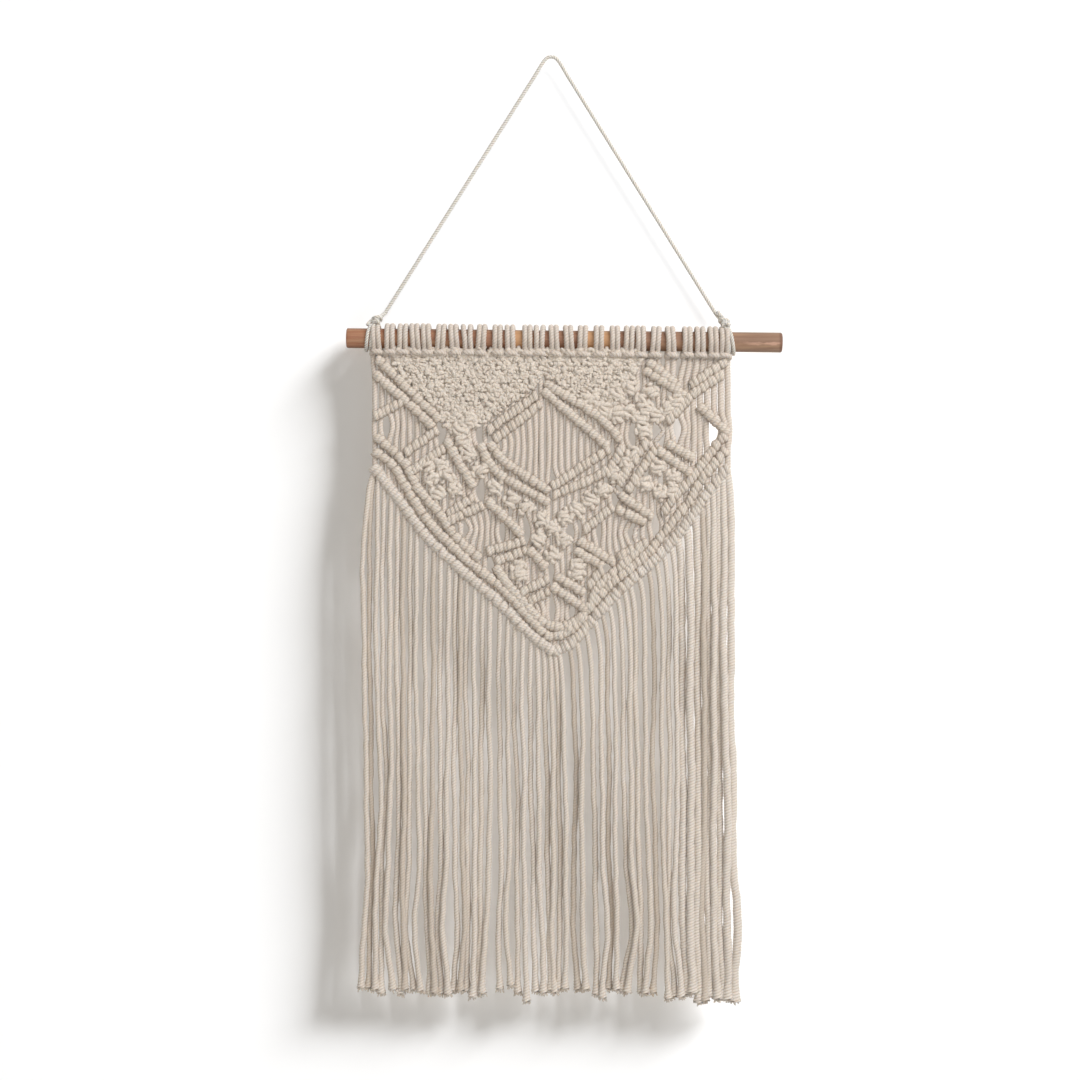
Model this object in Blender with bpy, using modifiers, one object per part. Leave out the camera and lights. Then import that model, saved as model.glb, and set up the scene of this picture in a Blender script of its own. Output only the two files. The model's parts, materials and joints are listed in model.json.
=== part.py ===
# Macrame wall hanging: a dowel hung from a thin cord, with a knotted V panel and a long fringe.
# Metres, +Z up. The origin is the inside of the hanger's bend, where the nail holds it. -Y faces the room.
import math
from collections import namedtuple

import bmesh
import bpy
import numpy as np

MM = 0.001

# Driving sizes in millimetres. A drop is a depth below the nail.
DOWEL_DIAMETER = 16.0
DOWEL_LEFT = -164.5
DOWEL_RIGHT = 185.3
DOWEL_LEFT_DROP = 224.5
DOWEL_RIGHT_DROP = 228.1
DOWEL_EDGE = 1.6
DOWEL_SIDES = 20
CLEARANCE = 0.35

# The thin hanger: its bend over the nail, its knots above the dowel and its turns round it.
HANGER_DIAMETER = 3.0
HANGER_BEND = 6.4
HANGER_LEFT_END = (-133.4, 204.2)
HANGER_RIGHT_END = (131.9, 204.6)
LEFT_TURN_X = -147.6
RIGHT_TURN_X = 145.7
TURN_STEPS = 14
TURN_RISE = 3.0

# The larks' heads: a doubled cord's width and thickness, and what the bar at the front adds.
HEAD_STEPS = 10
HEAD_HALF_WIDTH = 4.1
HEAD_THICKNESS = 2.9
BAR_HALF_WIDTH = 5.0
BAR_THICKNESS = 1.9
BAR_TURN = 150.0
BAR_SPREAD = 26.0

# The strands of the panel and the fringe.
CORD_DIAMETER = 4.2
STRAND_COUNT = 52
STRAND_PITCH = 5.54
STRAND_START = -141.3
STRAND_TOP_GAP = 4.9
SPREAD_DROP = 262.0
PANEL_DEPTH = -6.0
WEAVE_DEPTH = 0.35
SLIM_HALF_DEPTH = 1.8
FREE_HALF_WIDTH = 1.7
LEAST_GAP = 0.45
JOINT_SWELL = 0.6

# The knots and bars: how far their ridges, shoulders and sides stand out from the strands' mid depth.
HITCH_CREST = 4.3
HITCH_SHOULDER = 3.5
HITCH_SIDE = 2.9
VALLEY_CREST = 3.0
SHALLOW_HITCH = 4.5
NET_PITCH = 10.0
KNOT_HALF_HEIGHT = 2.7
HEM_GAP = 1.0

# How joints are placed along the strands, and where a strand has further rings.
DROP_GRID = 0.5
LEAST_JOINT = 1.5
JOINT_SNAP = 2.1
FALLBACK_REACH = 4.0
WIDEST_JOINT = 8.4
EDGE_REACH = 1.5
SLIM_SPAN = 16.0
SLIM_OFFSET = 2.5
BEND_STEP = 15.0
BESIDE_EDGE = 20.0

FRINGE_MID_DROP = 578.0
FRINGE_END_DROP = 738.0
FRINGE_UNEVEN = 3.0

# The doubled cords' centres along the dowel, from the left.
LARKS_HEAD_X = (
    -140.5, -129.4, -119.0, -109.0, -100.1, -88.6, -77.9, -67.1, -56.1, -43.2, -33.0, -19.2, -9.6,
    2.2, 14.0, 25.0, 38.0, 51.0, 62.2, 71.6, 83.6, 95.7, 109.0, 119.2, 129.8, 138.7,
)

# Half hitch bars, each along the points (x, drop) from its left end.
HitchBar = namedtuple("HitchBar", "name points")
HITCH_BARS = (
    HitchBar("v_middle_row", (
        (-142, 315), (-127, 326.5), (-114.5, 347.5), (-98.5, 371.5), (-79.5, 391), (-64.5, 405),
        (-42.5, 422.5), (-29, 436), (-17, 449), (0, 463.5), (16.5, 458), (27, 445), (37.5, 433),
        (48, 421), (63, 409.5), (79, 395.5), (90, 381), (100.5, 368), (110, 356), (122, 336), (142, 313))),
    HitchBar("v_upper_row", (
        (-140.5, 303.5), (-116.5, 326), (-107.5, 344), (-89, 366), (-80, 380), (-53, 406),
        (-46, 415), (-24, 434), (-1, 455), (6, 456), (28.5, 443), (35, 428), (53.5, 409),
        (78, 388), (88, 362.5), (111, 339), (132, 313), (142, 301))),
    HitchBar("left_shoulder_upper", ((-139.5, 241.5), (-116.5, 264), (-89, 290.5))),
    HitchBar("left_shoulder_lower", ((-144.5, 251.5), (-118, 274), (-94.5, 296))),
    HitchBar("left_eye_upper", ((-142, 288), (-120.5, 276))),
    HitchBar("left_eye_lower", ((-114.5, 321), (-87, 303))),
    HitchBar("left_lozenge_upper", ((-84.5, 306.5), (-62, 345))),
    HitchBar("left_lozenge_lower", ((-83.5, 367), (-57, 353))),
    HitchBar("left_fan_upper", ((-51.5, 354.5), (-23.5, 382.5))),
    HitchBar("left_fan_lower", ((-49, 399), (-21, 389))),
    HitchBar("left_small_left", ((-45, 407.5), (-29, 430.5))),
    HitchBar("left_small_upper", ((-18, 394), (-4.5, 409))),
    HitchBar("left_small_lower", ((-25, 429), (-2.5, 418))),
    HitchBar("right_small_upper", ((17, 393), (42, 409))),
    HitchBar("right_small_lower", ((3.5, 415.5), (27, 430))),
    HitchBar("right_small_right", ((29.5, 424), (41, 409.5))),
    HitchBar("tip_eye_upper", ((-25, 439.5), (-1, 425), (28.5, 442.5))),
    HitchBar("diamond_outer_upper", ((-51.5, 301), (-9, 268), (-5, 259.5), (52.5, 302))),
    HitchBar("diamond_inner_upper", ((-46, 308), (-7, 274), (48, 313))),
    HitchBar("diamond_inner_lower", ((-43.5, 315.5), (0, 346), (47, 314.5))),
    HitchBar("diamond_outer_lower", ((-54, 321), (0, 355), (52.5, 321.5))),
    HitchBar("right_shoulder_inner", ((75.5, 245.5), (104.5, 266.5))),
    HitchBar("right_shoulder_outer", ((110, 268), (139, 249))),
    HitchBar("right_eye_upper", ((119, 279.5), (145.5, 304))),
    HitchBar("right_eye_left", ((92, 294), (104, 279))),
    HitchBar("right_eye_lower", ((87, 309), (112.5, 327.5))),
    HitchBar("right_lozenge_upper", ((53.5, 342.5), (77.5, 306.5))),
    HitchBar("right_lozenge_lower", ((54, 350), (80.5, 368))),
    HitchBar("right_fan_left", ((25.5, 379.5), (49.5, 360))),
    HitchBar("right_fan_upper", ((51.5, 362), (79.5, 374))),
    HitchBar("right_fan_lower", ((21.5, 386.5), (51, 405))),
)

# Patches of the net: rows of square knots side by side, from the first row's drop down.
NetPatch = namedtuple("NetPatch", "name left right drop rows")
NET_PATCHES = (
    NetPatch("net_top", -116.0, 60.0, 247.5, 1),
    NetPatch("net_left", -105.0, -28.0, 257.5, 2),
    NetPatch("net_right", 7.0, 82.0, 257.5, 2),
)

# Single square knots, each tied with four strands.
SquareKnot = namedtuple("SquareKnot", "name x drop")
SQUARE_KNOTS = (
    SquareKnot("left_lozenge_upper", -91.0, 335.0),
    SquareKnot("left_lozenge_lower", -91.0, 349.0),
    SquareKnot("right_lozenge_upper", 84.0, 340.0),
    SquareKnot("right_lozenge_lower", 84.0, 354.0),
    SquareKnot("under_left_upper", -47.0, 344.0),
    SquareKnot("under_left_lower", -18.0, 365.5),
    SquareKnot("under_right_upper", 50.5, 334.5),
    SquareKnot("under_right_middle", 31.0, 351.0),
    SquareKnot("under_right_lower", 10.0, 369.5),
    SquareKnot("under_middle", 0.5, 391.0),
    SquareKnot("left_small", -26.5, 411.0),
    SquareKnot("right_small", 21.0, 410.5),
)

# Open gaps over 4 mm: centre, width and height. The strands beside one bow round it.
Gap = namedtuple("Gap", "x drop width height")
GAPS = (
    Gap(-107.5, 271.5, 6.5, 8), Gap(-94.5, 272, 4, 7), Gap(95, 272, 6.5, 6.5), Gap(-84, 282, 7, 12),
    Gap(81.5, 276, 4, 6.5), Gap(-132, 295, 5.5, 13), Gap(49.5, 294.5, 5, 5), Gap(100, 297.5, 6.5, 11),
    Gap(-88.5, 298, 6.5, 17.5), Gap(130, 299, 8, 17), Gap(-58, 302, 5, 14.5), Gap(64.5, 302.5, 5, 16),
    Gap(87, 303, 7, 10), Gap(-5, 310, 3.5, 50), Gap(75, 333, 5.5, 6.5), Gap(-112.5, 334, 5.5, 8),
    Gap(1.5, 338, 5, 7), Gap(43, 338, 4, 5), Gap(87, 340, 5, 6.5), Gap(65, 345, 6.5, 8),
    Gap(-57, 347.5, 7, 12), Gap(52, 350, 7, 12), Gap(-32.5, 363.5, 4, 5), Gap(-85, 375, 4, 8),
    Gap(83.5, 375.5, 6.5, 11), Gap(-71.5, 378, 6.5, 7), Gap(22, 378.5, 4, 11), Gap(38, 379.5, 4, 12),
    Gap(-19.5, 380, 5, 18), Gap(-39.5, 380, 4, 12), Gap(13.5, 380, 5.5, 6.5), Gap(66, 381, 6, 7),
    Gap(-48.5, 408, 5.5, 11), Gap(45, 409, 7, 10.5), Gap(0, 410.5, 4.5, 11), Gap(-14, 443.5, 5, 6),
    Gap(1, 443, 5, 13), Gap(17, 444, 6, 6),
)
GAP_REACH = 15.0
GAP_FADE = 1.7

# Locks of the fringe from the left: their first strand and step at mid height and at the ends, and the
# drop added to them.
Lock = namedtuple("Lock", "strands mid_x mid_step end_x end_step longer")
LOCKS = (
    Lock(2, -145, 6.9, -149, 6.9, 8), Lock(1, -130, 0, -136.6, 0, 8), Lock(3, -121, 4.2, -127.5, 5.2, 12),
    Lock(2, -106.7, 6.1, -111, 5.4, 10), Lock(1, -95, 0, -98, 0, 14), Lock(3, -87, 5, -94, 5.8, 9),
    Lock(2, -70.3, 4.0, -79.5, 6, 12), Lock(2, -58.7, 4, -66.2, 5.6, 10), Lock(1, -48.5, 0, -55, 0, 13),
    Lock(3, -41, 6, -42.7, 7.2, 11), Lock(4, -22, 5.8, -20.3, 4.8, 14), Lock(2, 0.5, 4.4, 0, 4.4, 18),
    Lock(2, 9.5, 4.4, 9, 4.4, 10), Lock(2, 20.5, 4.2, 20.5, 4.6, 12), Lock(3, 34.9, 5.6, 36.5, 4.8, 9),
    Lock(3, 52.5, 5.6, 51, 6.2, 10), Lock(3, 69.3, 6.4, 68, 6.4, 13), Lock(2, 88.5, 4.6, 92.5, 5.4, 9),
    Lock(2, 98.5, 4.6, 103.7, 4.6, 11), Lock(3, 108.5, 4.4, 113.5, 4.6, 15), Lock(2, 122.5, 5.2, 127, 5, 14),
    Lock(2, 132.5, 4.2, 137, 4.4, 18), Lock(2, 141, 4.6, 146, 4.6, 16),
)

# How much of its way sideways a fringe strand has made at depths below its root.
FringeBend = namedtuple("FringeBend", "below share")
FRINGE_BENDS = (FringeBend(14.0, 0.35), FringeBend(45.0, 0.8))

# The runs of cord in the two knots, each point x, y, drop and radius.
LEFT_KNOT = (
    ((-143.8, -0.4, 210.8, 1.8), (-142.0, -3.0, 208.5, 4.5), (-139.0, -3.0, 207.6, 4.0),
     (-137.4, -3.0, 207.0, 5.0), (-135.2, -3.0, 205.2, 2.0)),
)
RIGHT_KNOT = (
    ((142.8, -0.4, 213.4, 1.8), (141.0, -3.0, 211.1, 4.5), (138.0, -3.0, 210.2, 4.0),
     (136.4, -3.0, 209.6, 5.0), (134.2, -3.0, 207.8, 2.0)),
    ((134.0, -3.5, 209.0, 1.5), (131.5, -4.5, 202.0, 1.5), (129.5, -4.5, 198.0, 1.7)),
)

Finish = namedtuple("Finish", "colour roughness metallic")
COTTON = Finish((0.70, 0.63, 0.54), 0.92, 0.0)
COTTON_CORD = Finish((0.74, 0.68, 0.58), 0.9, 0.0)
WOOD = Finish((0.43, 0.20, 0.10), 0.62, 0.0)


def clear_scene():
    for item in list(bpy.data.objects):
        bpy.data.objects.remove(item, do_unlink=True)


def new_collection(name):
    collection = bpy.data.collections.new(name)
    bpy.context.scene.collection.children.link(collection)
    return collection


def make_material(name, finish):
    material = bpy.data.materials.new(name)
    material.use_nodes = True
    shader = material.node_tree.nodes["Principled BSDF"]
    shader.inputs["Base Color"].default_value = (*finish.colour, 1.0)
    shader.inputs["Roughness"].default_value = finish.roughness
    shader.inputs["Metallic"].default_value = finish.metallic
    return material


def place(x, y, drop):
    """A point in metres from millimetres right of the nail, behind it and below it."""
    return (x * MM, y * MM, -drop * MM)


def dowel_drop(x):
    share = (x - DOWEL_LEFT) / (DOWEL_RIGHT - DOWEL_LEFT)
    return DOWEL_LEFT_DROP + share * (DOWEL_RIGHT_DROP - DOWEL_LEFT_DROP)


def row_drop(points, x):
    """The drop of a row at x, on the straight runs between its points."""
    row = np.array(points, float)
    return float(np.interp(x, row[:, 0], row[:, 1]))


def weave_offset(index):
    """Neighbouring strands lie a little behind and in front of each other."""
    return WEAVE_DEPTH if index % 2 else -WEAVE_DEPTH


def tube_curve(name, splines, bevel_resolution):
    """A curve object of POLY splines, each a list of (x, y, drop, radius) in millimetres."""
    curve = bpy.data.curves.new(name, "CURVE")
    curve.dimensions = "3D"
    curve.twist_mode = "Z_UP"
    curve.bevel_depth = MM
    curve.bevel_resolution = bevel_resolution
    curve.use_fill_caps = True
    for points in splines:
        spline = curve.splines.new("POLY")
        spline.points.add(len(points) - 1)
        for target, (x, y, drop, radius) in zip(spline.points, points):
            target.co = (*place(x, y, drop), 1.0)
            target.radius = radius
    return bpy.data.objects.new(name, curve)


def mesh_from_curve(curve_object, collection):
    """The curve's tubes as a mesh object with welded caps and outward faces."""
    name = curve_object.name
    bpy.context.scene.collection.objects.link(curve_object)
    bpy.context.view_layer.update()
    graph = bpy.context.evaluated_depsgraph_get()
    mesh = bpy.data.meshes.new_from_object(curve_object.evaluated_get(graph))
    curve = curve_object.data
    bpy.data.objects.remove(curve_object, do_unlink=True)
    bpy.data.curves.remove(curve)
    work = bmesh.new()
    work.from_mesh(mesh)
    bmesh.ops.remove_doubles(work, verts=work.verts, dist=0.000001)
    bmesh.ops.triangulate(work, faces=work.faces)
    bmesh.ops.recalc_face_normals(work, faces=work.faces)
    work.to_mesh(mesh)
    work.free()
    mesh.name = name
    made = bpy.data.objects.new(name, mesh)
    collection.objects.link(made)
    return made


def finish_object(made, material, angle=40):
    made.data.materials.clear()
    made.data.materials.append(material)
    made.data.shade_smooth()
    made.data.set_sharp_from_angle(angle=math.radians(angle))


def union_all(made, operands):
    """One body from the object and every object in the operands' collection."""
    modifier = made.modifiers.new("join", "BOOLEAN")
    modifier.operation = "UNION"
    modifier.solver = "EXACT"
    modifier.operand_type = "COLLECTION"
    modifier.collection = operands
    modifier.use_self = True


def gap_push(x, drop):
    """How far the gaps push points sideways: each bows its neighbours out, less and less with distance."""
    for gap in GAPS:
        away = x - gap.x
        side = np.where(away >= 0, 1.0, -1.0)
        clear = gap.width / 2 + CORD_DIAMETER / 2
        near = np.abs(away) < GAP_REACH
        upright = np.clip(1 - np.abs(drop - gap.drop) / (gap.height / 2 * GAP_FADE), 0, 1)
        bow = np.sin(upright * math.pi / 2)
        target = clear + np.abs(away) * (GAP_REACH - clear) / GAP_REACH
        x = np.where(near, x + bow * (side * target - away), x)
    return x


def on_grid(drop):
    return round(drop / DROP_GRID) * DROP_GRID


def strand_top(index):
    centre = LARKS_HEAD_X[index // 2]
    return centre + (CORD_DIAMETER + CLEARANCE) / 2 * (1 if index % 2 else -1)


def even_x(index):
    return STRAND_START + STRAND_PITCH * index


def panel_x(index, drop):
    """A panel strand's x at a drop: from under its lark's head to its even place, bowed by the gaps."""
    top = strand_top(index)
    start = panel_top(index)
    ease = np.clip((drop - start) / (SPREAD_DROP - start), 0, 1)
    ease = ease * ease * (3 - 2 * ease)
    return gap_push(top + (even_x(index) - top) * ease, drop)


def panel_top(index):
    return dowel_drop(strand_top(index)) + DOWEL_DIAMETER / 2 + STRAND_TOP_GAP


def hitch_windows(points):
    """Where a bar joins each pair of neighbours: between the drops at which it crosses the two."""
    row = np.array(points, float)
    windows = []
    for index in range(STRAND_COUNT - 1):
        left, right = even_x(index), even_x(index + 1)
        if left < row[0, 0] - EDGE_REACH or right > row[-1, 0] + EDGE_REACH:
            continue
        here, there = row_drop(points, left), row_drop(points, right)
        if abs(there - here) < SHALLOW_HITCH:
            middle = (here + there) / 2
            here, there = middle - SHALLOW_HITCH / 2, middle + SHALLOW_HITCH / 2
        windows.append((index, on_grid(min(here, there)), on_grid(max(here, there))))
    return windows


def net_windows(patch):
    """Two joints to a row for each pair of strands: from the valley above the row to its crest, and down."""
    drops = [on_grid(patch.drop + NET_PITCH / 2 * step) for step in range(-1, 2 * patch.rows)]
    middles = {pair: even_x(pair) + STRAND_PITCH / 2 for pair in range(STRAND_COUNT - 1)}
    pairs = [pair for pair, middle in middles.items() if patch.left < middle < patch.right]
    return [(pair, top, bottom) for top, bottom in zip(drops, drops[1:]) for pair in pairs]


def net_valleys():
    """The drops of the valleys above, between and under the net's rows."""
    valleys = set()
    for patch in NET_PATCHES:
        valleys |= {on_grid(patch.drop + NET_PITCH * (row - 0.5)) for row in range(patch.rows + 1)}
    return valleys


def knot_windows(knot):
    first = int(round((knot.x - STRAND_START) / STRAND_PITCH - 1.5))
    top, bottom = on_grid(knot.drop - KNOT_HALF_HEIGHT), on_grid(knot.drop + KNOT_HALF_HEIGHT)
    return [(first + side, top, bottom) for side in range(3)]


def crosses(one, other):
    """True where an end of one drop range lies inside the other."""
    return any(other[0] < end < other[1] for end in one) or any(one[0] < end < one[1] for end in other)


def accepted_windows(wanted, track, floors):
    """The windows that share no part of a strand with an earlier one, and whose strands lie side by side."""
    kept = {}
    for index, top, bottom in wanted:
        floor = floors.get(index, 0.0)
        middle = np.array([(top + bottom) / 2])
        apart = track(index + 1, middle)[0] - track(index, middle)[0]
        nearby = kept.get(index - 1, []) + kept.get(index, []) + kept.get(index + 1, [])
        for end in (end for other in nearby for end in other):
            top = end if abs(top - end) < JOINT_SNAP and end >= floor else top
            bottom = end if abs(bottom - end) < JOINT_SNAP else bottom
        for other in nearby:
            top = other[1] if other[0] < top < other[1] else top
            bottom = other[0] if other[0] < bottom < other[1] else bottom
        choices = [(top, bottom)]
        choices += sorted(nearby, key=lambda other: abs(sum(other) / 2 - middle[0]))[:2]
        for span in choices:
            fits = span[1] - span[0] >= LEAST_JOINT and span[0] >= floor
            alone = not any(crosses(span, other) for other in nearby)
            close = abs(sum(span) / 2 - middle[0]) < FALLBACK_REACH
            if apart < WIDEST_JOINT and fits and alone and close and span not in kept.get(index, []):
                kept.setdefault(index, []).append(span)
                break
    return kept


def joint_ends(index, windows):
    """The drops at which a strand's joints with its two neighbours start and end."""
    return {end for span in windows.get(index - 1, []) + windows.get(index, []) for end in span}


def strand_levels(index, windows, top, bottom, extra):
    """The drops of one strand's rings: its joints' ends, slim rings near them, and what its bends need."""
    spans = windows.get(index - 1, []) + windows.get(index, [])
    fixed = joint_ends(index, windows) | {top, bottom, *(extra or ())}
    levels = sorted(level for level in fixed if top <= level <= bottom)
    added = []
    if extra is None:
        for upper, lower in zip(levels, levels[1:]):
            inside = any(span[0] <= upper and lower <= span[1] for span in spans)
            if inside or lower - upper < SLIM_SPAN:
                continue
            added += [upper + SLIM_OFFSET, lower - SLIM_OFFSET]
            count = int((lower - upper - 2 * SLIM_OFFSET) // BEND_STEP)
            added += list(np.linspace(upper + SLIM_OFFSET, lower - SLIM_OFFSET, count + 2)[1:-1])
    return sorted(levels + added)


def front_faces(upper, lower):
    """The front of a strand between two rings, either of which may lack the ridge."""
    left, ridge, right = upper[:3]
    low_left, low_ridge, low_right = lower[:3]
    if ridge is None and low_ridge is None:
        return [(left, low_left, low_right, right)]
    if ridge is None:
        return [(left, low_left, low_ridge), (left, low_ridge, right), (right, low_ridge, low_right)]
    if low_ridge is None:
        return [(left, low_left, ridge), (ridge, low_left, low_right), (ridge, low_right, right)]
    return [(left, low_left, low_ridge, ridge), (ridge, low_ridge, low_right, right)]


class Lattice:
    """Square strands side by side that share the corners of their side faces wherever a knot joins them."""

    def __init__(self, track, windows, valleys):
        self.track = track
        self.windows = windows
        self.valleys = valleys
        self.points = []
        self.faces = []
        self.shared = {}

    def add_point(self, x, y, drop):
        self.points.append((x, y, drop))
        return len(self.points) - 1

    def is_end(self, pair, drop):
        return any(drop in span for span in self.windows.get(pair, []))

    def is_open(self, pair, upper, lower):
        return any(span[0] <= upper and lower <= span[1] for span in self.windows.get(pair, []))

    def side(self, strand, drop, direction, slim):
        """The front and back corner of a ring's side, shared with the neighbour at a joint's end."""
        pair = strand if direction > 0 else strand - 1
        level = np.array([drop])
        x = self.track(strand, level)[0]
        other = strand + direction
        beside = self.track(other, level)[0] if 0 <= other < STRAND_COUNT else x + direction * BESIDE_EDGE
        if self.is_end(pair, drop):
            key = (pair, drop)
            if key not in self.shared:
                middle = (x + beside) / 2
                self.shared[key] = (
                    self.add_point(middle, PANEL_DEPTH - HITCH_SIDE, drop),
                    self.add_point(middle, PANEL_DEPTH + HITCH_SIDE, drop),
                )
            return self.shared[key]
        half = min(CORD_DIAMETER / 2 if slim else FREE_HALF_WIDTH, abs(beside - x) / 2 - LEAST_GAP / 2)
        swell = 0.0 if slim else JOINT_SWELL
        depth = PANEL_DEPTH + (weave_offset(strand) if slim else 0.0)
        front = self.add_point(x + direction * half, depth - SLIM_HALF_DEPTH - swell, drop)
        back = self.add_point(x + direction * half, depth + SLIM_HALF_DEPTH + swell, drop)
        return front, back

    def ring(self, strand, drop):
        """The ring's corners from the front left round to the back left, its front ridge only at a joint."""
        joined = self.is_end(strand - 1, drop) + self.is_end(strand, drop)
        left_front, left_back = self.side(strand, drop, -1, joined == 0)
        right_front, right_back = self.side(strand, drop, 1, joined == 0)
        ridge = None
        if joined:
            crest = VALLEY_CREST if drop in self.valleys else (HITCH_SHOULDER, HITCH_CREST)[joined - 1]
            ridge = self.add_point(self.track(strand, np.array([drop]))[0], PANEL_DEPTH - crest, drop)
        return left_front, ridge, right_front, right_back, left_back

    def add_strand(self, strand, levels):
        rings = [self.ring(strand, drop) for drop in levels]
        self.faces.append([corner for corner in rings[0] if corner is not None])
        self.faces.append([corner for corner in rings[-1][::-1] if corner is not None])
        for upper, lower, upper_drop, lower_drop in zip(rings, rings[1:], levels, levels[1:]):
            self.faces += front_faces(upper, lower)
            if not self.is_open(strand, upper_drop, lower_drop):
                self.faces.append((upper[2], lower[2], lower[3], upper[3]))
            self.faces.append((upper[3], lower[3], lower[4], upper[4]))
            if not self.is_open(strand - 1, upper_drop, lower_drop):
                self.faces.append((upper[4], lower[4], lower[0], upper[0]))

    def make(self, name, collection):
        mesh = bpy.data.meshes.new(name)
        mesh.from_pydata([place(*point) for point in self.points], [], self.faces)
        work = bmesh.new()
        work.from_mesh(mesh)
        bmesh.ops.triangulate(work, faces=work.faces)
        bmesh.ops.recalc_face_normals(work, faces=work.faces)
        work.to_mesh(mesh)
        work.free()
        made = bpy.data.objects.new(name, mesh)
        collection.objects.link(made)
        return made


def fringe_tracks(hem):
    """Each fringe strand's drops and x: from the hem through its lock's place at mid height to its end."""
    tracks = []
    for lock in LOCKS:
        for place_in_lock in range(lock.strands):
            index = len(tracks)
            root_x = even_x(index)
            root_drop = hem[index]
            mid_x = lock.mid_x + lock.mid_step * place_in_lock
            end_x = lock.end_x + lock.end_step * place_in_lock
            end_drop = FRINGE_END_DROP + lock.longer + FRINGE_UNEVEN * math.sin(index * 2.4)
            drops = (root_drop, *(root_drop + bend.below for bend in FRINGE_BENDS), FRINGE_MID_DROP, end_drop)
            bends = [root_x + bend.share * (mid_x - root_x) for bend in FRINGE_BENDS]
            tracks.append((drops, (root_x, *bends, mid_x, end_x)))
    return tracks


def make_dowel(collection, material):
    """A rod turned about its own axis, with rounded edges at both ends, then laid along X with its tilt."""
    half = math.hypot(DOWEL_RIGHT - DOWEL_LEFT, DOWEL_RIGHT_DROP - DOWEL_LEFT_DROP) / 2
    radius = DOWEL_DIAMETER / 2
    profile = [(0.0, half)]
    for step in range(3):
        turn = math.radians(45 * step)
        inset, rise = DOWEL_EDGE * math.sin(turn), DOWEL_EDGE * math.cos(turn)
        profile.append((radius - DOWEL_EDGE + inset, half - DOWEL_EDGE + rise))
    profile += [(r, -z) for r, z in reversed(profile)]
    mesh = bpy.data.meshes.new("dowel")
    points = [(r * MM, 0.0, z * MM) for r, z in profile]
    mesh.from_pydata(points, [(i, i + 1) for i in range(len(points) - 1)], [])
    dowel = bpy.data.objects.new("dowel", mesh)
    screw = dowel.modifiers.new("turn", "SCREW")
    screw.axis = "Z"
    screw.steps = DOWEL_SIDES
    screw.render_steps = DOWEL_SIDES
    screw.use_merge_vertices = True
    screw.merge_threshold = 0.0001
    screw.use_smooth_shade = True
    tilt = math.atan2(DOWEL_RIGHT_DROP - DOWEL_LEFT_DROP, DOWEL_RIGHT - DOWEL_LEFT)
    middle_x = (DOWEL_LEFT + DOWEL_RIGHT) / 2
    dowel.location = place(middle_x, 0, dowel_drop(middle_x))
    dowel.rotation_euler = (0, math.pi / 2 + tilt, 0)
    mesh.materials.append(material)
    collection.objects.link(dowel)


def ring_loft(name, rings):
    """A closed ring from cross-sections of equal point counts, given as an array of section, point, xyz."""
    sections, around, _ = rings.shape
    index = np.arange(sections * around).reshape(sections, around)
    following = np.roll(index, -1, axis=0)
    faces = np.stack([index, np.roll(index, -1, axis=1), np.roll(following, -1, axis=1), following], axis=-1)
    mesh = bpy.data.meshes.new(name)
    mesh.from_pydata((rings.reshape(-1, 3) * MM).tolist(), [], faces.reshape(-1, 4).tolist())
    work = bmesh.new()
    work.from_mesh(mesh)
    bmesh.ops.recalc_face_normals(work, faces=work.faces)
    work.to_mesh(mesh)
    work.free()
    return bpy.data.objects.new(name, mesh)


def make_larks_head(number, centre_x, collection, material):
    """A doubled cord round the dowel: two lobes side by side, and a thicker bar low at the front."""
    turn = np.arange(HEAD_STEPS) * 2 * math.pi / HEAD_STEPS
    bar = np.exp(-((turn - math.radians(BAR_TURN)) / math.radians(BAR_SPREAD)) ** 2)
    inner = np.full(HEAD_STEPS, (DOWEL_DIAMETER / 2 + CLEARANCE) / math.cos(math.pi / HEAD_STEPS))
    outer = inner + HEAD_THICKNESS + BAR_THICKNESS * bar
    nearest = min(abs(centre_x - other) for other in LARKS_HEAD_X if other != centre_x)
    widest = min(BAR_HALF_WIDTH, (nearest - CLEARANCE) / 2)
    half = HEAD_HALF_WIDTH + (widest - HEAD_HALF_WIDTH) * bar
    widths = np.stack([-half, -0.6 * half, 0.6 * half, half], axis=1)
    radii = np.stack([inner, outer, outer, inner], axis=1)
    sections = np.stack([
        centre_x + widths,
        -radii * np.sin(turn)[:, None],
        -dowel_drop(centre_x) + radii * np.cos(turn)[:, None],
    ], axis=-1)
    made = ring_loft(f"larks_head_{number:02d}", sections)
    collection.objects.link(made)
    finish_object(made, material, 60)


def hanger_points():
    """The hanger's line from the left knot over the nail to the right knot: two legs and a small bend."""
    left = math.atan2(-HANGER_LEFT_END[0], HANGER_LEFT_END[1])
    right = math.atan2(HANGER_RIGHT_END[0], HANGER_RIGHT_END[1])
    angles = np.linspace(left - math.pi / 2, math.pi / 2 - right, 9)
    rise = HANGER_BEND * (1 - np.cos(angles)) - HANGER_DIAMETER / 2
    arc = np.column_stack([HANGER_BEND * np.sin(angles), rise])
    legs = []
    for end, tip in ((HANGER_LEFT_END, arc[0]), (HANGER_RIGHT_END, arc[-1])):
        share = np.linspace(0, 1, 18)[:, None]
        legs.append(np.array(end) * (1 - share) + tip * share)
    return np.concatenate([legs[0][:-1], arc, legs[1][::-1][1:]])


def make_hanger_cord(collection, material):
    line = [(x, 0.0, drop, HANGER_DIAMETER / 2) for x, drop in hanger_points()]
    cord = tube_curve("hanger_cord", [line], 2)
    cord.data.materials.append(material)
    collection.objects.link(cord)


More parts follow.
